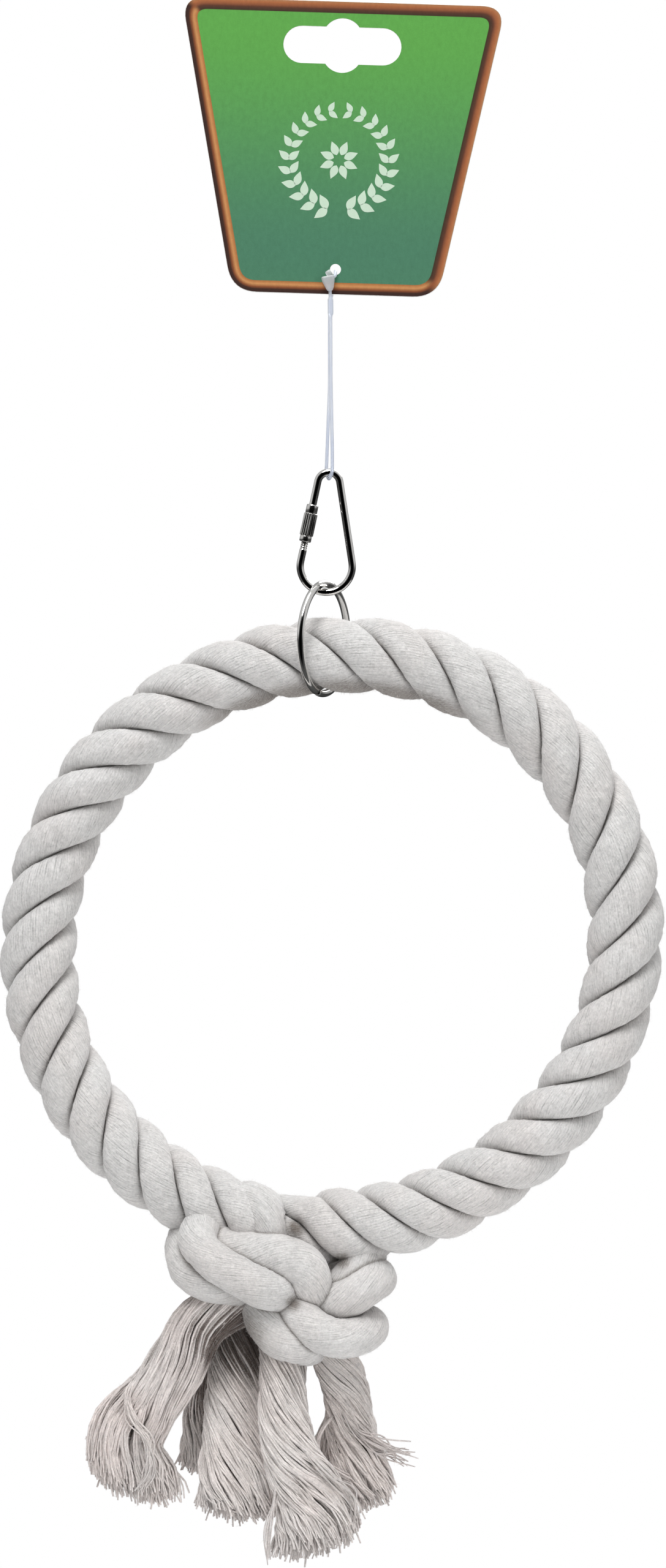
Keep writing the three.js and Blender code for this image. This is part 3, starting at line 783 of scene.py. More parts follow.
# ---- rope ring
def knot_hollow_shade(points):
    """Painted shade on the points, where the knot's strands leave hollows between them."""
    x, z = points[..., 0] - KNOT_CENTRE[0], points[..., 2] - KNOT_CENTRE[2]
    dark = np.zeros(x.shape)
    for right, up, size in KNOT_HOLLOW_SHADE:
        dark = np.maximum(dark, np.exp(-(((x - right) / size) ** 2) - ((z - up) / size) ** 2))
    return dark


def rope_line(angles):
    """Centre line of the rope, clockwise from the top. Both ends dive into the knot."""
    turn = np.radians(angles)
    reach = ROPE_RING_RADIUS + ROPE_RING_OVAL * np.cos(2 * (turn - math.radians(ROPE_OVAL_AXIS)))
    reach = reach + 3 * eased((-164 - angles) / 8) + 6 * eased((angles - 184) / 12)
    back = 6 * eased((angles - 180) / 9)
    return ROPE_CENTRE + np.stack([reach * np.sin(turn), back, reach * np.cos(turn)], 1)


def strand_section():
    """Outline of one strand: points, outward directions, masks of crown and of painted shade near the
    grooves, distances.
    """
    share = np.linspace(-1, 1, CROWN_POINTS)
    aside = np.abs(share)
    turn = share * math.pi / 3
    reach = ROPE_RADIUS - GROOVE_DEPTH * aside**CROWN_FULLNESS
    reach = reach - CREASE_DEPTH * aside**18
    crown = np.stack([reach * np.cos(turn), reach * np.sin(turn)], 1)
    wall = np.linspace(1, 0, WALL_POINTS)[1:, None] * crown[-1]
    other_wall = np.linspace(0, 1, WALL_POINTS)[1:, None] * crown[0]
    points = np.vstack([crown, wall, other_wall])
    ahead = unit(np.gradient(points, axis=0))
    away = np.stack([ahead[:, 1], -ahead[:, 0]], 1)
    on_crown = np.zeros(len(points))
    on_crown[:CROWN_POINTS] = eased((1 - aside) / 0.1)
    # Painted shade toward the grooves, strongest at their bottom
    groove_shade = np.ones(len(points))
    groove_shade[:CROWN_POINTS] = np.maximum(0.9 * aside**14, 0.3 * aside**4)
    return points, away, on_crown, groove_shade, distances(points)


def rope_strand(index):
    rng = np.random.default_rng(40 + index)
    angles = np.linspace(LEFT_END, RIGHT_END, ROPE_ROWS)
    line = rope_line(angles)
    along = distances(line)
    outward = np.cross(FRONT, unit(np.gradient(line, axis=0)))
    drift = LAY_DRIFT * np.cos(np.radians(angles - LAY_DRIFT_AXIS))
    turns = (angles - LAY_START - drift) / LAY_ANGLE + index / 3

    # Each column of points follows one yarn, which slides round the strand as the strand turns
    points, away, on_crown, groove_shade, around = strand_section()
    perimeter = around[-1]
    place = np.arange(COLUMNS)[None, :] / COLUMNS - (turns * YARN_SLIDE / perimeter)[:, None]
    place = (place % 1.0) * perimeter
    crown = np.interp(place, around, on_crown)
    rise = crown * lumps(along, rng, 0.07, 0.16)
    section = looked_up(place, around, points) + looked_up(place, around, away) * rise[..., None]
    ends = np.minimum(angles - LEFT_END, RIGHT_END - angles)
    section = section * (0.8 + 0.2 * eased(ends / 6))[:, None, None]
    turn = (turns * TWO_PI)[:, None]
    out_part = section[..., 0] * np.cos(turn) - section[..., 1] * np.sin(turn)
    front_part = section[..., 0] * np.sin(turn) + section[..., 1] * np.cos(turn)
    grid = line[:, None] + out_part[..., None] * outward[:, None] + front_part[..., None] * FRONT

    number = np.arange(COLUMNS + 1) * YARNS / COLUMNS + YARNS * index
    # Painted shade on the underside of the top arc; below it is joined with the painted shade near the
    # grooves and in the knot's hollows
    underside_shade = 0.85 * eased((-out_part - 3.5) / 6) * eased((44 - np.abs(angles)) / 24)[:, None]
    hollow = np.maximum(np.interp(place, around, groove_shade), np.maximum(underside_shade, knot_hollow_shade(grid)))
    masks = {"outside": crown, "hollow": hollow}
    name = f"rope_strand_{index + 1}"
    return skin(name, grid, cotton_rope, along=along, across=number, masks=masks)


strands = [rope_strand(index) for index in range(3)]

# ---- knot
knot_lines = {}
for name, route in KNOT_ROUTES.items():
    rough = smooth_path(KNOT_CENTRE + np.array(route), 80)
    knot_lines[name] = even_path(rough, max(24, int(distances(rough)[-1] / KNOT_ROW_STEP)))


def crease_shade(points, others):
    """Painted shade where the points touch the other turns, falling to nothing a little way off."""
    away = np.full(points.shape[:2], 99.0)
    for line in others:
        for part in np.array_split(line, 4):
            apart = np.linalg.norm(points[:, :, None] - part[None, None], axis=-1)
            away = np.minimum(away, apart.min(axis=2))
    return 0.82 * np.clip((KNOT_STRAND_RADIUS + 2.2 - away) / 2.2, 0, 1) ** 2


def knot_strand(name, seed):
    rng = np.random.default_rng(seed)
    line = knot_lines[name]
    along = distances(line)
    thick = KNOT_STRAND_RADIUS * (TUCKED_SHARE if name in TUCKED_TURNS else 1)
    radius = thick + lumps(along, rng, 0.07, 0.14)
    if name == "knot_front_arch":
        swell = np.exp(-(((along / along[-1] - 0.58) / 0.24) ** 2))
        radius = radius + ARCH_SWELL * swell[:, None]
    twist = -math.tan(KNOT_YARN_LEAN) * along / KNOT_STRAND_RADIUS
    grid = tube(line, radius, COLUMNS, twist=twist)
    number = np.arange(COLUMNS + 1) * YARNS / COLUMNS + YARNS * seed
    others = [path for label, path in knot_lines.items() if label != name]
    # Painted shade in the creases and hollows of the knot
    hollow = np.maximum(crease_shade(grid, others), knot_hollow_shade(grid))
    masks = {"outside": np.ones(radius.shape), "hollow": hollow}
    return skin(name, grid, cotton_rope, along=along, across=number, masks=masks)


knots = [knot_strand(name, 60 + i) for i, name in enumerate(KNOT_ROUTES)]
unseen_turns = knots[-2:]


# ---- loose tails
def tail_lines(route, top, end, turns, slant, yarns, seed):
    """Centre lines of one tail's yarns (yarn, step, x y z), and how far out each yarn lies."""
    rng = np.random.default_rng(seed)
    spine = smooth_path(np.array(route, float) + KNOT_CENTRE, 60)
    length = distances(spine)[-1]
    ahead = unit(np.gradient(spine, axis=0))
    sideways = unit(np.cross([0.0, 1.0, 0.0], ahead))
    depthways = np.cross(ahead, sideways)

    # The yarns fill the section in a spiral and draw together in bundles
    number = np.arange(yarns)
    spread = np.sqrt((number + 0.5) / yarns)
    start = number * GOLDEN_ANGLE
    bundles = np.where(spread > OUTER_YARNS, OUTER_BUNDLES, INNER_BUNDLES)
    middle = (np.floor(start / TWO_PI * bundles) + 0.5) / bundles * TWO_PI
    start = middle + (start - middle) * 0.82
    bundle = np.floor(start / TWO_PI * bundles) % bundles
    lock = (bundle + INNER_BUNDLES * (spread > 0.6) + INNER_BUNDLES * (spread > OUTER_YARNS)).astype(int)

    # Inner yarns reach further, and a few end early
    reach = 1 + rng.normal(0, 0.014, yarns) - 0.075 * spread**2 - 0.05 * rng.random(yarns) ** 6
    reach = reach - slant * spread * np.cos(start - turns * TWO_PI)
    share = np.linspace(0, 1, TAIL_STEPS)[None, :] * reach[:, None]
    within = np.clip(share, 0, 1)
    beyond = np.clip(share - 1, 0, 1)[..., None] * length

    # The tail has a waist below the knot, untwists and opens out toward its cut end
    turn = start[:, None] - turns * TWO_PI * (1 - (1 - within) ** 1.5)
    open_out = within**2.2
    waist = TAIL_WAIST * 16 * within**2 * (1 - within) ** 2
    wide = (top[0] + (end[0] - top[0]) * open_out - waist - 0.6) / 2
    deep = (top[1] + (end[1] - top[1]) * open_out - 0.6) / 2

    # Bundles wander together, and each yarn a little by itself
    down = share * length
    free = 0.3 + 0.7 * open_out
    loose = rng.uniform(0, TWO_PI, 60)[lock][:, None]
    lock_x = 0.95 * waves(down, rng, (53, 31, 17), loose) * free
    lock_y = 0.95 * waves(down, rng, (47, 27, 15), loose + 2) * free
    own = rng.uniform(0, TWO_PI, yarns)[:, None]
    own_x = 0.26 * waves(down, rng, (23, 13, 7), own) * free
    own_y = 0.26 * waves(down, rng, (19, 11, 6), own + 1) * free
    frayed = np.clip((share - 0.8) / 0.2, 0, 1) ** 2
    across = wide * spread[:, None] * np.cos(turn) + lock_x + own_x
    through = deep * spread[:, None] * np.sin(turn) + lock_y + own_y
    across = across + frayed * rng.normal(0, 1.0, yarns)[:, None]
    through = through + frayed * rng.normal(0, 1.0, yarns)[:, None]

    def follow(values):
        return looked_up(within * (len(spine) - 1), np.arange(len(spine)), values)

    lines = follow(spine) + beyond * follow(ahead)
    lines = lines + across[..., None] * follow(sideways) + through[..., None] * follow(depthways)
    kept = (spread > 0.55) | (number % 2 == 0)
    return lines[kept], spread[kept]


def loose_lines(route, count, spread, seed):
    """Centre lines of yarns that have come loose and fan out toward their ends."""
    rng = np.random.default_rng(seed)
    lines = []
    for _ in range(count):
        rows = np.array(route, float) + KNOT_CENTRE
        fan = np.linspace(0.3, 1, len(rows))[:, None] * spread
        rows = rows + rng.normal(0, 1, rows.shape) * fan * (0.7, 0.5, 0.7)
        lines.append(smooth_path(rows, TAIL_STEPS))
    return lines


def yarn_bundle_tree():
    """Round yarns along the edges of the source, with a map of length and yarn number."""
    inputs = {"Yarn Radius": "Float", "Sides": "Int", "Cotton": "Material"}
    tree, given, result = geometry_tree("yarn_bundle", inputs)
    curve = added(tree, "GeometryNodeMeshToCurve", {0: given["Geometry"]})
    section = {"Resolution": given["Sides"], "Radius": given["Yarn Radius"]}
    circle = added(tree, "GeometryNodeCurvePrimitiveCircle", section)
    around = put(tree, "GeometryNodeCaptureAttribute", {0: circle})
    around.capture_items.new("FLOAT", "around")
    feed(around, {1: added(tree, "GeometryNodeSplineParameter", output="Factor")})
    profile, turned = Flow(around.outputs[0]), Flow(around.outputs[1])
    thickness = stored(tree, "thickness")
    sweep = {"Curve": curve, "Profile Curve": profile, "Scale": thickness, "Fill Caps": True}
    yarn = added(tree, "GeometryNodeCurveToMesh", sweep)
    place = {0: stored(tree, "along"), 1: stored(tree, "number") + turned}
    mapped = {"Geometry": yarn, "Name": "yarn", "Value": added(tree, "ShaderNodeCombineXYZ", place)}
    kind = {"data_type": "FLOAT2", "domain": "CORNER"}
    mapped = added(tree, "GeometryNodeStoreNamedAttribute", mapped, **kind)
    smooth = added(tree, "GeometryNodeSetShadeSmooth", {"Geometry": mapped})
    return finished(smooth, given["Cotton"], result)


yarn_tree = yarn_bundle_tree()


def tail_shade(name, line):
    """How dark a yarn of the tail is where it leaves the knot."""
    strength, down = TAIL_SHADE[name]
    z = line[:, 2] - KNOT_CENTRE[2]
    return np.maximum(knot_hollow_shade(line), strength * eased((z + 11 + 1.6 * down) / (1.4 * down)))


def yarn_lines(name, lines, depths):
    """Mesh of bare edges along the lines, with what yarns, cotton and fuzz read from each point."""
    points, edges = [], []
    values = {label: [] for label in ("along", "number", "hollow", "outside", "thickness")}
    share = np.linspace(0, 1, TAIL_STEPS)
    tip = 1 - 0.28 * eased((share - 0.9) / 0.1)
    for i, (line, depth) in enumerate(zip(lines, depths)):
        first = len(points)
        points.extend((line * MM).tolist())
        edges.extend((first + j, first + j + 1) for j in range(TAIL_STEPS - 1))
        # Painted shade on the yarns inside the tail, fading toward the cut end
        buried_shade = 0.95 * eased((0.93 - depth) / 0.25) * (1 - 0.75 * eased((share - 0.7) / 0.25))
        # Steps that never repeat make the yarns unlike their neighbours
        uneven = 0.35 + 1.3 * (i * 0.7548777 % 1)
        own = 0.82 + 0.33 * (i * 0.5698403 % 1)
        values["along"].append(distances(line))
        values["number"].append(np.full(TAIL_STEPS, i * 1.37))
        values["hollow"].append(np.maximum(np.minimum(tail_shade(name, line) * uneven, 1), buried_shade))
        values["outside"].append(float(depth > 0.86) + 5 * (share > 0.94))
        values["thickness"].append(own * tip)
    mesh = new_mesh(f"{name}_lines", points, edges)
    store(mesh, values)
    return new_object(f"{name}_lines", mesh)


def tail(name, seed):
    """One tail, with the finer yarns that have come loose from it."""
    sets = [(*tail_lines(*TAILS[name], seed), TAIL_YARN_RADIUS)]
    loose = []
    for i, lock in enumerate(LOOSE_YARNS.get(name, [])):
        loose += loose_lines(*lock, 10 * seed + i)
    if loose:
        sets.append((loose, [1.0] * len(loose), LOOSE_YARN_RADIUS))
    pieces = []
    for lines, depths, radius in sets:
        source = yarn_lines(name, lines, depths)
        values = {"Yarn Radius": radius * MM, "Sides": YARN_SIDES, "Cotton": cotton_tail}
        pieces.append(grown(name, source, yarn_tree, values))
        discarded(source)
    return joined(name, *pieces)


tails = [tail(name, 80 + i) for i, name in enumerate(TAILS)]


# ---- fuzz on rope, knot and tails
def fibre_sprig():
    """One fine bent fibre with a pointed tip, one unit long."""
    points = []
    for height, lean, size in ((0.0, 0.0, 0.035), (0.55, 0.16, 0.028)):
        for k in range(3):
            turn = TWO_PI * k / 3
            points.append((lean + size * math.cos(turn), size * math.sin(turn), height))
    points.append((0.5, 0.1, 1.0))
    faces = [(k, (k + 1) % 3, 3 + (k + 1) % 3, 3 + k) for k in range(3)]
    faces += [(3 + k, 3 + (k + 1) % 3, 6) for k in range(3)]
    return new_object("fibre_sprig", new_mesh("fibre_sprig", points, faces=faces))


def fuzz_tree():
    """Short fibres standing off the faces of the source at random leans."""
    numbers = dict.fromkeys(("Fibres per square metre", "Shortest", "Longest", "Lean"), "Float")
    inputs = {"Fibre": "Object", **numbers, "Seed": "Int", "Cotton": "Material"}
    tree, given, result = geometry_tree("cotton_fuzz", inputs)
    seed, lean = given["Seed"], given["Lean"]
    density = stored(tree, "outside") * given["Fibres per square metre"]
    spread = {"Mesh": given["Geometry"], "Density": density, "Seed": seed}
    scatter = put(tree, "GeometryNodeDistributePointsOnFaces", spread, distribute_method="RANDOM")
    scatter = flows(scatter)
    fibre = added(tree, "GeometryNodeObjectInfo", {"Object": given["Fibre"]}, "Geometry")
    smooth = added(tree, "GeometryNodeSetShadeSmooth", {"Geometry": fibre})
    other = lean * -1.0
    low = added(tree, "ShaderNodeCombineXYZ", {0: other, 1: other, 2: -3.14})
    high = added(tree, "ShaderNodeCombineXYZ", {0: lean, 1: lean, 2: 3.14})
    turn = {0: low, 1: high, "Seed": seed}
    turn = added(tree, "FunctionNodeRandomValue", turn, data_type="FLOAT_VECTOR")
    turn = {0: scatter["Rotation"], 1: turn}
    turn = added(tree, "FunctionNodeRotateRotation", turn, rotation_space="LOCAL")
    size = {2: given["Shortest"], 3: given["Longest"], "Seed": seed}
    size = added(tree, "FunctionNodeRandomValue", size, 1, data_type="FLOAT")
    fibres = {"Points": scatter["Points"], "Instance": smooth, "Rotation": turn, "Scale": size}
    return finished(added(tree, "GeometryNodeInstanceOnPoints", fibres), given["Cotton"], result)


fibre = fibre_sprig()
fuzz_nodes = fuzz_tree()


def fuzz_on(name, source, density, longest, seed):
    return grown(name, source, fuzz_nodes, {
        "Fibre": fibre,
        "Fibres per square metre": density,
        "Shortest": SHORTEST_FIBRE * MM,
        "Longest": longest * MM,
        "Lean": FIBRE_LEAN,
        "Seed": seed,
        "Cotton": cotton_fuzz,
    })


def fuzz_over(name, pieces, density, longest, seed):
    """One piece of fuzz over several pieces."""
    values = (density, longest)
    parts = [fuzz_on(f"fuzz_{piece.name}", piece, *values, seed + i) for i, piece in enumerate(pieces)]
    return joined(name, *parts)


rope_fuzz = [
    fuzz_on(f"rope_fuzz_{i}", strand, ROPE_FUZZ, ROPE_FIBRE, i) for i, strand in enumerate(strands, 1)
]
knot_fuzz = fuzz_over("knot_fuzz", knots, KNOT_FUZZ, ROPE_FIBRE, 20)
tail_fuzz = fuzz_over("tail_fuzz", tails, TAIL_FUZZ, TAIL_FIBRE, 40)
discarded(fibre)


# ---- header card
def card_ring(inset):
    """Outline of the card moved inward, always with the same number of points."""
    top, bottom = CARD_TOP_WIDTH / 2, CARD_BOTTOM_WIDTH / 2
    corners = [(-bottom, CARD_BOTTOM), (bottom, CARD_BOTTOM), (top, CARD_TOP), (-top, CARD_TOP)]
    corners = np.array(corners, float)
    lines = []
    for a, b in zip(corners, np.roll(corners, -1, axis=0)):
        ahead = (b - a) / np.linalg.norm(b - a)
        inward = np.array([-ahead[1], ahead[0]])
        lines.append((a + inward * inset, ahead))
    moved = []
    for (p, d), (q, e) in zip([lines[-1]] + lines[:-1], lines):
        t = np.linalg.solve(np.stack([d, -e], 1), q - p)[0]
        moved.append(p + d * t)
    points = []
    for i, corner in enumerate(moved):
        start = max(CARD_CORNERS[i] - inset, 0.8)
        ways = (moved[i - 1] - corner, moved[(i + 1) % 4] - corner)
        a, b = (corner + way / np.linalg.norm(way) * start for way in ways)
        for t in np.linspace(0, 1, 11):
            points.append((1 - t) ** 2 * a + 2 * t * (1 - t) * corner + t * t * b)
    return np.array(points)


def slot_ring():
    """Hanging slot: round ends and a round bulge above and below its middle."""
    end, rise = SLOT_END_RADIUS, SLOT_BULGE_RISE
    end_x = SLOT_WIDTH / 2 - end
    bulge = (SLOT_BULGE_HALF_WIDTH**2 + rise**2) / (2 * rise)
    centre = end + rise - bulge
    start = math.atan2(end - centre, SLOT_BULGE_HALF_WIDTH)
    points = []
    for x, z, radius, low, high in (
        (end_x, 0, end, -math.pi / 2, math.pi / 2),
        (0, centre, bulge, start, math.pi - start),
        (-end_x, 0, end, math.pi / 2, 1.5 * math.pi),
        (0, -centre, bulge, math.pi + start, TWO_PI - start),
    ):
        for turn in np.linspace(low, high, 17):
            points.append((x + radius * math.cos(turn), SLOT_MIDDLE + z + radius * math.sin(turn)))
    return np.array(points)


def hole_ring():
    turn = np.linspace(0, TWO_PI, 28, endpoint=False)
    return np.stack([TAG_HOLE_RADIUS * np.cos(turn), TAG_HOLE_Z + TAG_HOLE_RADIUS * np.sin(turn)], 1)


def inside(x, z, outline):
    """Whether a point of the card lies inside a closed outline."""
    odd = False
    for (ax, _, az), (bx, _, bz) in zip(outline, outline[1:] + outline[:1]):
        if (az > z) != (bz > z) and x < ax + (bx - ax) * (z - az) / (bz - az):
            odd = not odd
    return odd


def header_card():
    """Board with eased edges: printed front, plain back and bare core along its cuts."""
    front_side, back_side, core = range(3)
    half = CARD_THICKNESS / 2
    off_border = 9.0
    points, edge, facing, faces, marks = [], [], [], [], []

    def add_loop(ring, y, value=off_border):
        first = len(points)
        points.extend((x, y, z) for x, z in ring)
        edge.extend([value] * len(ring))
        ahead = unit(np.roll(ring, -1, axis=0) - np.roll(ring, 1, axis=0))
        facing.extend((ahead[:, 1] - ahead[:, 0]).tolist())
        return list(range(first, len(points)))

    def add_face(face, mark, flip):
        faces.append(face[::-1] if flip else face)
        marks.append(mark)

    def bridge(a, b, mark, flip=False):
        for i in range(len(a)):
            j = (i + 1) % len(a)
            add_face((a[i], a[j], b[j], b[i]), mark, flip)

    def fill(outer, slot, hole, mark, flip):
        rings = [outer, slot, hole]
        number = [i for ring in rings for i in ring]
        flat = [Vector((points[i][0], points[i][2])) for i in number]
        links, first = [], 0
        for ring in rings:
            links.extend((first + k, first + (k + 1) % len(ring)) for k in range(len(ring)))
            first += len(ring)
        _, _, triangles, origin, _, _ = delaunay_2d_cdt(flat, links, [], 0, 1e-6)
        windows = [[points[i] for i in ring] for ring in (slot, hole)]
        for triangle in triangles:
            face = [number[origin[k][0]] for k in triangle]
            a, b, c = (flat[origin[k][0]] for k in triangle)
            centre = (a + b + c) / 3
            if any(inside(centre.x, centre.y, window) for window in windows):
                continue
            if (b - a).cross(c - a) < 0:
                face.reverse()
            add_face(face, mark, flip)

    def add_side(y, edge_y, insets):
        sheet = [add_loop(card_ring(inset), y if inset else edge_y, inset) for inset in insets]
        return sheet, add_loop(slot_ring(), y), add_loop(hole_ring(), y)

    front, *front_cuts = add_side(-half, -half + CARD_EDGE_EASE, CARD_FRONT_INSETS)
    for i, (a, b) in enumerate(zip(front, front[1:])):
        bridge(a, b, front_side if i else core)
    fill(front[-1], *front_cuts, front_side, False)
    back, *back_cuts = add_side(half, half - CARD_EDGE_EASE, CARD_BACK_INSETS)
    bridge(back[0], back[1], core, True)
    fill(back[1], *back_cuts, back_side, True)
    bridge(front[0], back[0], core, True)
    for a, b in zip(front_cuts, back_cuts):
        bridge(a, b, core)
    mesh = new_mesh("header_card", (np.array(points) * MM).tolist(), faces=faces)
    store(mesh, {"edge": edge, "facing": facing})
    card = new_object("header_card", mesh, card_print, card_back, card_core)
    mesh.polygons.foreach_set("material_index", marks)
    mesh.update()
    return card


def leaf_shape():
    """A flat leaf with a pointed tip, one unit long, printed thin."""
    outline = []
    for t in np.linspace(0, 1, 13):
        outline.append((0.30 * math.sin(math.pi * t**0.8) * (1 - 0.25 * t), t))
    outline += [(-x, z) for x, z in outline[-2:0:-1]]
    count = len(outline)
    points = [(x, y, z) for y in (0.0, -0.008) for x, z in outline]
    faces = [tuple(range(count))[::-1], tuple(range(count, 2 * count))]
    faces += [(i, (i + 1) % count, count + (i + 1) % count, count + i) for i in range(count)]
    return new_object("leaf_shape", new_mesh("leaf_shape", points, faces=faces))


def wreath_tree():
    """Leaves set on the points of the source by the turn and size stored on each point."""
    tree, given, result = geometry_tree("leaf_wreath", {"Leaf": "Object", "Print": "Material"})
    points = added(tree, "GeometryNodeMeshToPoints", {0: given["Geometry"]})
    leaf = added(tree, "GeometryNodeObjectInfo", {"Object": given["Leaf"]}, "Geometry")
    turn = added(tree, "ShaderNodeCombineXYZ", {1: stored(tree, "turn")})
    leaves = {"Points": points, "Instance": leaf, "Rotation": turn, "Scale": stored(tree, "size")}
    return finished(added(tree, "GeometryNodeInstanceOnPoints", leaves), given["Print"], result)


def card_wreath():
    """Two leafy sprays that meet in a round wreath on the panel, with a rosette inside."""
    places, turns, sizes = [], [], []
    for side in (1, -1):
        for i in range(WREATH_PAIRS):
            share = (i + 0.75) / (WREATH_PAIRS + 0.6)
            around = math.pi * share
            direction = np.array([side * math.sin(around), -math.cos(around)])
            heading = math.atan2(side * math.cos(around), math.sin(around))
            for lean in (0.85, -0.85):
                places.append(WREATH_CENTRE + WREATH_RADIUS * direction)
                turns.append(heading + lean)
                sizes.append((4.5 - 1.6 * share) * MM)
    for i in range(ROSETTE_LEAVES):
        turn = TWO_PI * (i + 0.5) / ROSETTE_LEAVES
        places.append(WREATH_CENTRE + ROSETTE_RADIUS * np.array([math.sin(turn), math.cos(turn)]))
        turns.append(turn)
        sizes.append(ROSETTE_LEAF * MM)
    y = -(CARD_THICKNESS / 2 + 0.003) * MM
    mesh = new_mesh("wreath_points", [(x * MM, y, z * MM) for x, z in places])
    store(mesh, {"turn": turns, "size": sizes})
    source = new_object("wreath_points", mesh)
    leaf = leaf_shape()
    wreath = grown("card_wreath", source, wreath_tree(), {"Leaf": leaf, "Print": card_leaf})
    discarded(source)
    discarded(leaf)
    return wreath


card = header_card()
wreath = card_wreath()


# ---- tag loop
def soft_block(centre, levels, depth, lean):
    """Rounded block from rows of height, half width and share of depth, leaning to the left."""
    turn = np.arange(32) * TWO_PI / 32
    c, s = np.cos(turn), np.sin(turn)
    rows = []
    for z, half, share in levels:
        x = half * np.sign(c) * np.abs(c) ** 0.4
        y = depth * share * np.sign(s) * np.abs(s) ** 0.4
        rows.append(np.stack([x, y, np.full(32, float(z))], 1))
    return tilted(np.array(rows), -math.radians(lean)) + np.array(centre)


def tag_loop():
    """Filament that hangs in the card's hole and carries the link, with its lock head and nub."""
    rows = [
        (-1.5, -2.1, -72.4), (-1.2, -2.1, -75.05), (-0.25, -2.1, -99.1), (0.75, -BIGHT_RADIUS, -119.6),
        (0.75, -BIGHT_RADIUS, LINK_TOP_Z),
    ]
    for degrees in (45, 90, 135):
        turn = math.radians(degrees)
        x = 0.75 - 1.5 * degrees / 180
        rows.append((x, -BIGHT_RADIUS * math.cos(turn), LINK_TOP_Z - BIGHT_RADIUS * math.sin(turn)))
    rows += [
        (-0.75, BIGHT_RADIUS, LINK_TOP_Z), (-0.75, BIGHT_RADIUS, -119.6), (-0.65, SADDLE_RADIUS, -99),
        (-1.05, SADDLE_RADIUS, -77), (-0.3, SADDLE_RADIUS, -72),
    ]
    for degrees in (0, 45, 90, 135, 180):
        turn = math.radians(degrees)
        rows.append((0, SADDLE_RADIUS * math.cos(turn), SADDLE_Z + SADDLE_RADIUS * math.sin(turn)))
    rows.append((-0.8, -1.7, -70.6))
    line = smooth_path(rows, 300)
    collar = eased((2.6 - np.abs(line[:, 2] - COLLAR_Z)) / 0.7) * (line[:, 1] < -1.4)
    filament = tube(line, FILAMENT_RADIUS + 0.3 * collar, 14, (1, 0, 0))
    shield = (
        (-2.1, 0.5, 0.6), (-1.95, 0.75, 0.75), (-1.4, 1.05, 0.9), (0.6, 1.7, 1), (1.5, 1.8, 1),
        (1.8, 1.7, 0.95), (1.95, 1.45, 0.8),
    )
    knob = ((-0.9, 0.6, 0.7), (-0.75, 0.8, 0.9), (0.6, 0.8, 0.9), (0.8, 0.6, 0.7))
    return joined(
        "tag_loop",
        skin("loop_filament", filament, loop_plastic),
        skin("loop_head", soft_block((-1.65, -2.1, -71.96), shield, 1.4, 12), loop_clear),
        skin("loop_nub", soft_block((-1.75, -1.9, -69.3), knob, 1.2, 35), loop_clear),
    )


loop = tag_loop()


# ---- link, sleeve nut and ring
def left_limb(distance):
    """Point on the link's left limb, measured down from the end of the top bend."""
    x = -LINK_TOP_RADIUS * math.cos(LINK_LEAN) - distance * math.sin(LINK_LEAN)
    z = LINK_TOP_CENTRE + LINK_TOP_RADIUS * math.sin(LINK_LEAN) - distance * math.cos(LINK_LEAN)
    return (x, 0.0, z)


def limb_rows(first, last, count):
    return [left_limb(distance) for distance in np.linspace(first, last, count)]


def bend(centre_z, radius, low, high, count):
    turn = np.linspace(low, high, count)
    return [(radius * math.cos(t), 0.0, centre_z + radius * math.sin(t)) for t in turn]


def link_body():
    """Pear of bent wire, with a thread on its lower stub below the opening."""
    rows = limb_rows(UPPER_STUB, 0.3, 12)
    rows += bend(LINK_TOP_CENTRE, LINK_TOP_RADIUS, math.pi - LINK_LEAN, LINK_LEAN, 40)
    rows += [(-x, y, z) for x, y, z in limb_rows(0.5, LIMB_LENGTH - 0.5, 30)]
    rows += bend(LINK_BOW_CENTRE, LINK_BOW_RADIUS, LINK_LEAN, -math.pi - LINK_LEAN, 90)
    rows += limb_rows(LIMB_LENGTH - 0.4, THREAD_END, 8)
    plain = len(rows)
    rows += limb_rows(THREAD_END - 0.06, LOWER_STUB, 60)
    line = np.array(rows)
    radius = np.full((len(line), WIRE_SIDES), LINK_WIRE_RADIUS)
    turns = distances(line)[:, None] / THREAD_PITCH + np.arange(WIRE_SIDES)[None, :] / WIRE_SIDES
    thread = np.abs((turns % 1.0) * 2 - 1)
    radius[plain:] = (LINK_WIRE_RADIUS - 0.03 - 0.17 * thread)[plain:]
    return skin("link_body", tube(line, radius, WIRE_SIDES), nickel)


def sleeve_nut():
    """Sleeve with a fluted barrel between two plain collars."""
    around = 144
    turn = np.arange(around) * TWO_PI / around
    flute = 0.5 - 0.5 * np.cos(NUT_FLUTES * turn)
    collar, barrel, bore = NUT_COLLAR_RADIUS, NUT_BARREL_RADIUS, NUT_BORE_RADIUS
    # Height, radius and share of the flutes' depth
    levels = [
        (0.0, bore, 0), (0.0, collar - 0.2, 0), (0.06, collar - 0.08, 0), (0.2, collar, 0), (1.45, collar, 0),
        (1.6, collar - 0.1, 0), (1.66, collar + 0.02, 0), (1.75, barrel - 0.08, 0.4), (1.95, barrel, 1),
        (4.8, barrel, 1), (7.5, barrel, 1), (7.72, barrel - 0.08, 0.4), (7.82, collar + 0.02, 0),
        (7.9, collar - 0.1, 0), (8.05, collar, 0), (9.9, collar, 0), (10.1, collar - 0.08, 0),
        (10.2, collar - 0.22, 0), (10.2, bore, 0), (7.0, bore, 0), (3.0, bore, 0),
    ]
    grid = []
    for z, radius, depth in levels:
        reach = radius - NUT_FLUTE_DEPTH * depth * flute
        grid.append(np.stack([reach * np.cos(turn), reach * np.sin(turn), np.full(around, z)], 1))
    sleeve = tilted(np.array(grid), LINK_LEAN) + np.array(left_limb(NUT_BOTTOM))
    nut = skin("link_sleeve_nut", sleeve, nickel_nut, closed=True)
    nut.data.set_sharp_from_angle(angle=math.radians(35))
    return nut


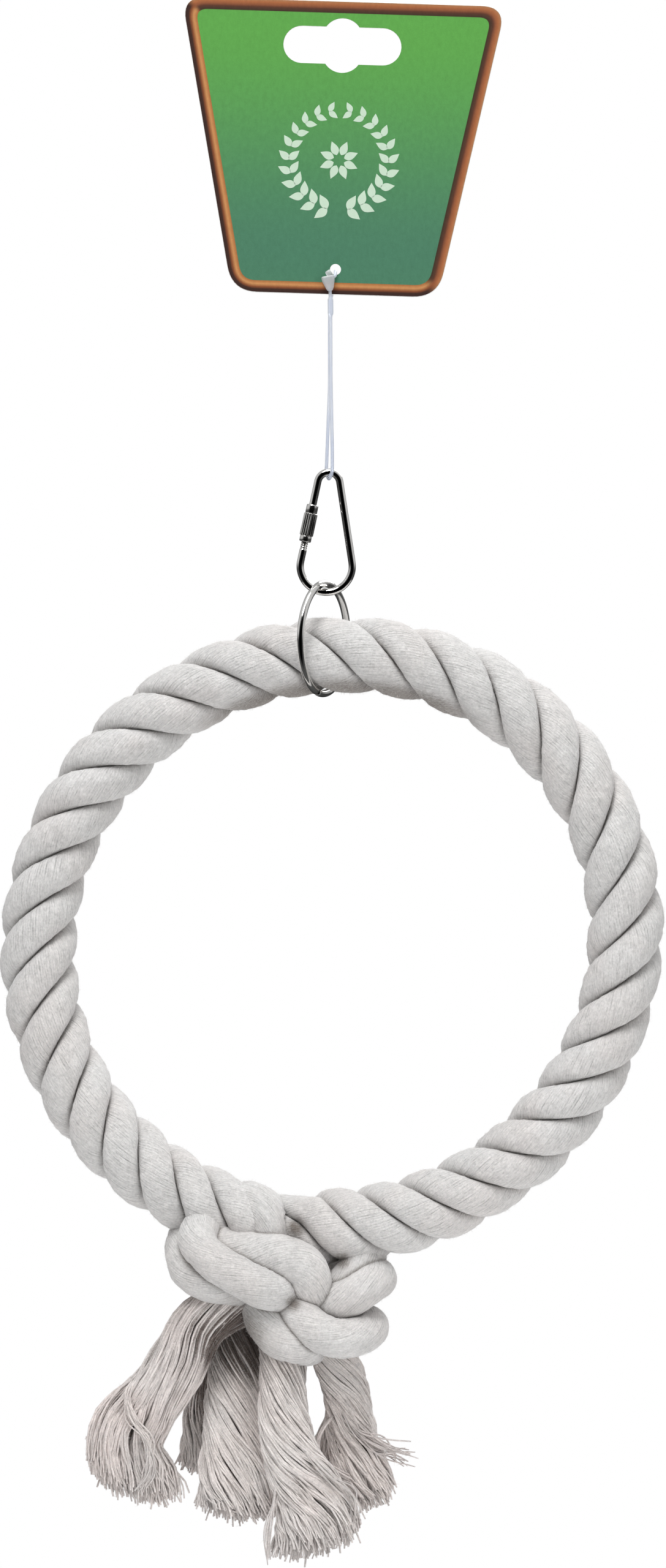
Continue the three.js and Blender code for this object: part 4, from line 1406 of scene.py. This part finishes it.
def metal_ring():
    """Wire ring whose two ends meet in a butt joint."""
    half_gap = RING_BUTT_GAP / (2 * RING_MEAN_RADIUS)
    start = -math.pi / 2 + RING_BUTT_ANGLE + half_gap
    rows = np.array(bend(0, RING_MEAN_RADIUS, start, start + TWO_PI - 2 * half_gap, 160))
    c, s = math.cos(RING_TURN), math.sin(RING_TURN)
    turned = np.stack([rows[:, 0] * c, rows[:, 0] * s, rows[:, 2] + RING_CENTRE_Z], 1)
    radius = np.full(len(turned), RING_WIRE_RADIUS)
    radius[[0, -1]] = 0.86
    radius[[1, -2]] = 0.98
    return skin("metal_ring", tube(turned, radius, WIRE_SIDES, (-s, c, 0)), nickel_ring)


link = link_body()
nut = sleeve_nut()
ring = metal_ring()

# ---- frame
for piece, node in (
    (card, "header_card"), (loop, "tag_loop"), (link, "link_body"), (nut, "link_sleeve_nut"),
    (ring, "metal_ring"),
):
    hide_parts(node)
for piece in strands + knots + tails:
    if piece not in unseen_turns:
        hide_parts(piece.name.split(".")[0])
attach(card, "card")
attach(wreath, "card")
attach(loop, "loop")
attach(link, "link")
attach(nut, "nut")
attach(ring, "ring")
for piece in strands + knots + tails + rope_fuzz + [knot_fuzz, tail_fuzz]:
    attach(piece, "rope")
for piece in unseen_turns + rope_fuzz + [knot_fuzz]:
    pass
rope_path = rope_line(np.linspace(LEFT_END, RIGHT_END, 40)) * MM


# ---- floor, light and camera
def seen_plainly(ray):
    """One for what is seen directly or through clear plastic."""
    return ray["Is Camera Ray"].math("MAXIMUM", ray["Is Transmission Ray"])


def studio_floor():
    """Pale round floor that fades to the white of the background."""
    points = [(0.0, 0.0, FLOOR_Z)]
    for t in np.linspace(0, TWO_PI, FLOOR_SIDES, endpoint=False):
        points.append((FLOOR_RADIUS * math.cos(t), FLOOR_RADIUS * math.sin(t), FLOOR_Z))
    faces = [(0, 1 + i, 1 + (i + 1) % FLOOR_SIDES) for i in range(FLOOR_SIDES)]
    material = new_material("studio_floor", matt, (0.9, 0.9, 0.9, 1), 0.8)
    tree = material.node_tree
    flat = stretched(object_place(tree), 1.0, 1.0, 0.0)
    reach = added(tree, "ShaderNodeVectorMath", {0: flat}, "Value", operation="LENGTH")
    share = ramped(reach, 0.12, 0.32) * seen_plainly(flows(put(tree, "ShaderNodeLightPath")))
    glow = added(tree, "ShaderNodeEmission", {"Color": (1, 1, 1, 1), "Strength": 1.0})
    surface = Flow(tree.nodes["Principled BSDF"].outputs[0])
    both = added(tree, "ShaderNodeMixShader", {0: share, 1: surface, 2: glow})
    feed(tree.nodes["Material Output"], {"Surface": both})
    floor = new_object("studio_floor", new_mesh("studio_floor", points, faces=faces), material)
    floor.visible_glossy = False
    return floor


def studio_world():
    """White behind the object, soft light from above, and a studio for the metal to mirror."""
    world = bpy.data.worlds.new("studio")
    bpy.context.scene.world = world
    world.use_nodes = True
    tree = world.node_tree
    ray = flows(put(tree, "ShaderNodeLightPath"))
    toward = parts_of(added(tree, "ShaderNodeTexCoord", output="Generated"))
    above = ramped(toward["Z"], -0.1, 0.2, 0.08, 0.6)
    aside = ramped(toward["Y"], -0.8, -0.35)
    behind = ramped(toward["Y"], 0.25, 0.75, 1.0, 0.55)
    soft = ramped(toward["Z"], -0.5, 0.5, 0.1, 0.42)
    level = {0: ray["Is Glossy Ray"], 2: soft, 3: above * aside * behind}
    level = {0: seen_plainly(ray), 2: added(tree, "ShaderNodeMix", level), 3: 1.0}
    level = added(tree, "ShaderNodeMix", level)
    feed(tree.nodes["Background"], {"Color": (1, 1, 1, 1), "Strength": level})


def area_lamp(name, place, size, power):
    """Round soft lamp aimed at the object's middle."""
    lamp = bpy.data.lights.new(name, "AREA")
    lamp.shape = "DISK"
    lamp.size = size
    lamp.energy = power
    holder = new_object(name, lamp)
    holder.location = place
    aim = Vector(OBJECT_MIDDLE) - Vector(place)
    holder.rotation_euler = aim.to_track_quat("-Z", "Y").to_euler()
    return holder


def photo_camera():
    """Long lens straight ahead, rolled a little."""
    camera = bpy.data.cameras.new("photo_camera")
    camera.lens = CAMERA_LENS
    camera.sensor_width = 36
    camera.clip_end = 20
    holder = new_object("photo_camera", camera)
    c, s = CAMERA_ROLL
    place = Matrix((Vector((c, 0, s)), Vector((-s, 0, c)), Vector((0, -1, 0)))).transposed().to_4x4()
    place.translation = CAMERA_PLACE
    holder.matrix_world = place
    bpy.context.scene.camera = holder
    return holder


floor = studio_floor()
studio_world()
key = area_lamp("key_lamp", (-0.4, -1.0, 1.3), 0.8, 17.5)
fill = area_lamp("fill_lamp", (0.95, -1.3, -0.1), 0.9, 4.2)
fill.visible_glossy = False
top = area_lamp("top_lamp", (0.0, -0.25, 1.15), 0.7, 8.5)
rear = area_lamp("rear_lamp", (0.5, 1.3, 0.7), 0.9, 12)
camera = photo_camera()
view = bpy.context.scene.view_settings
view.view_transform = "Standard"
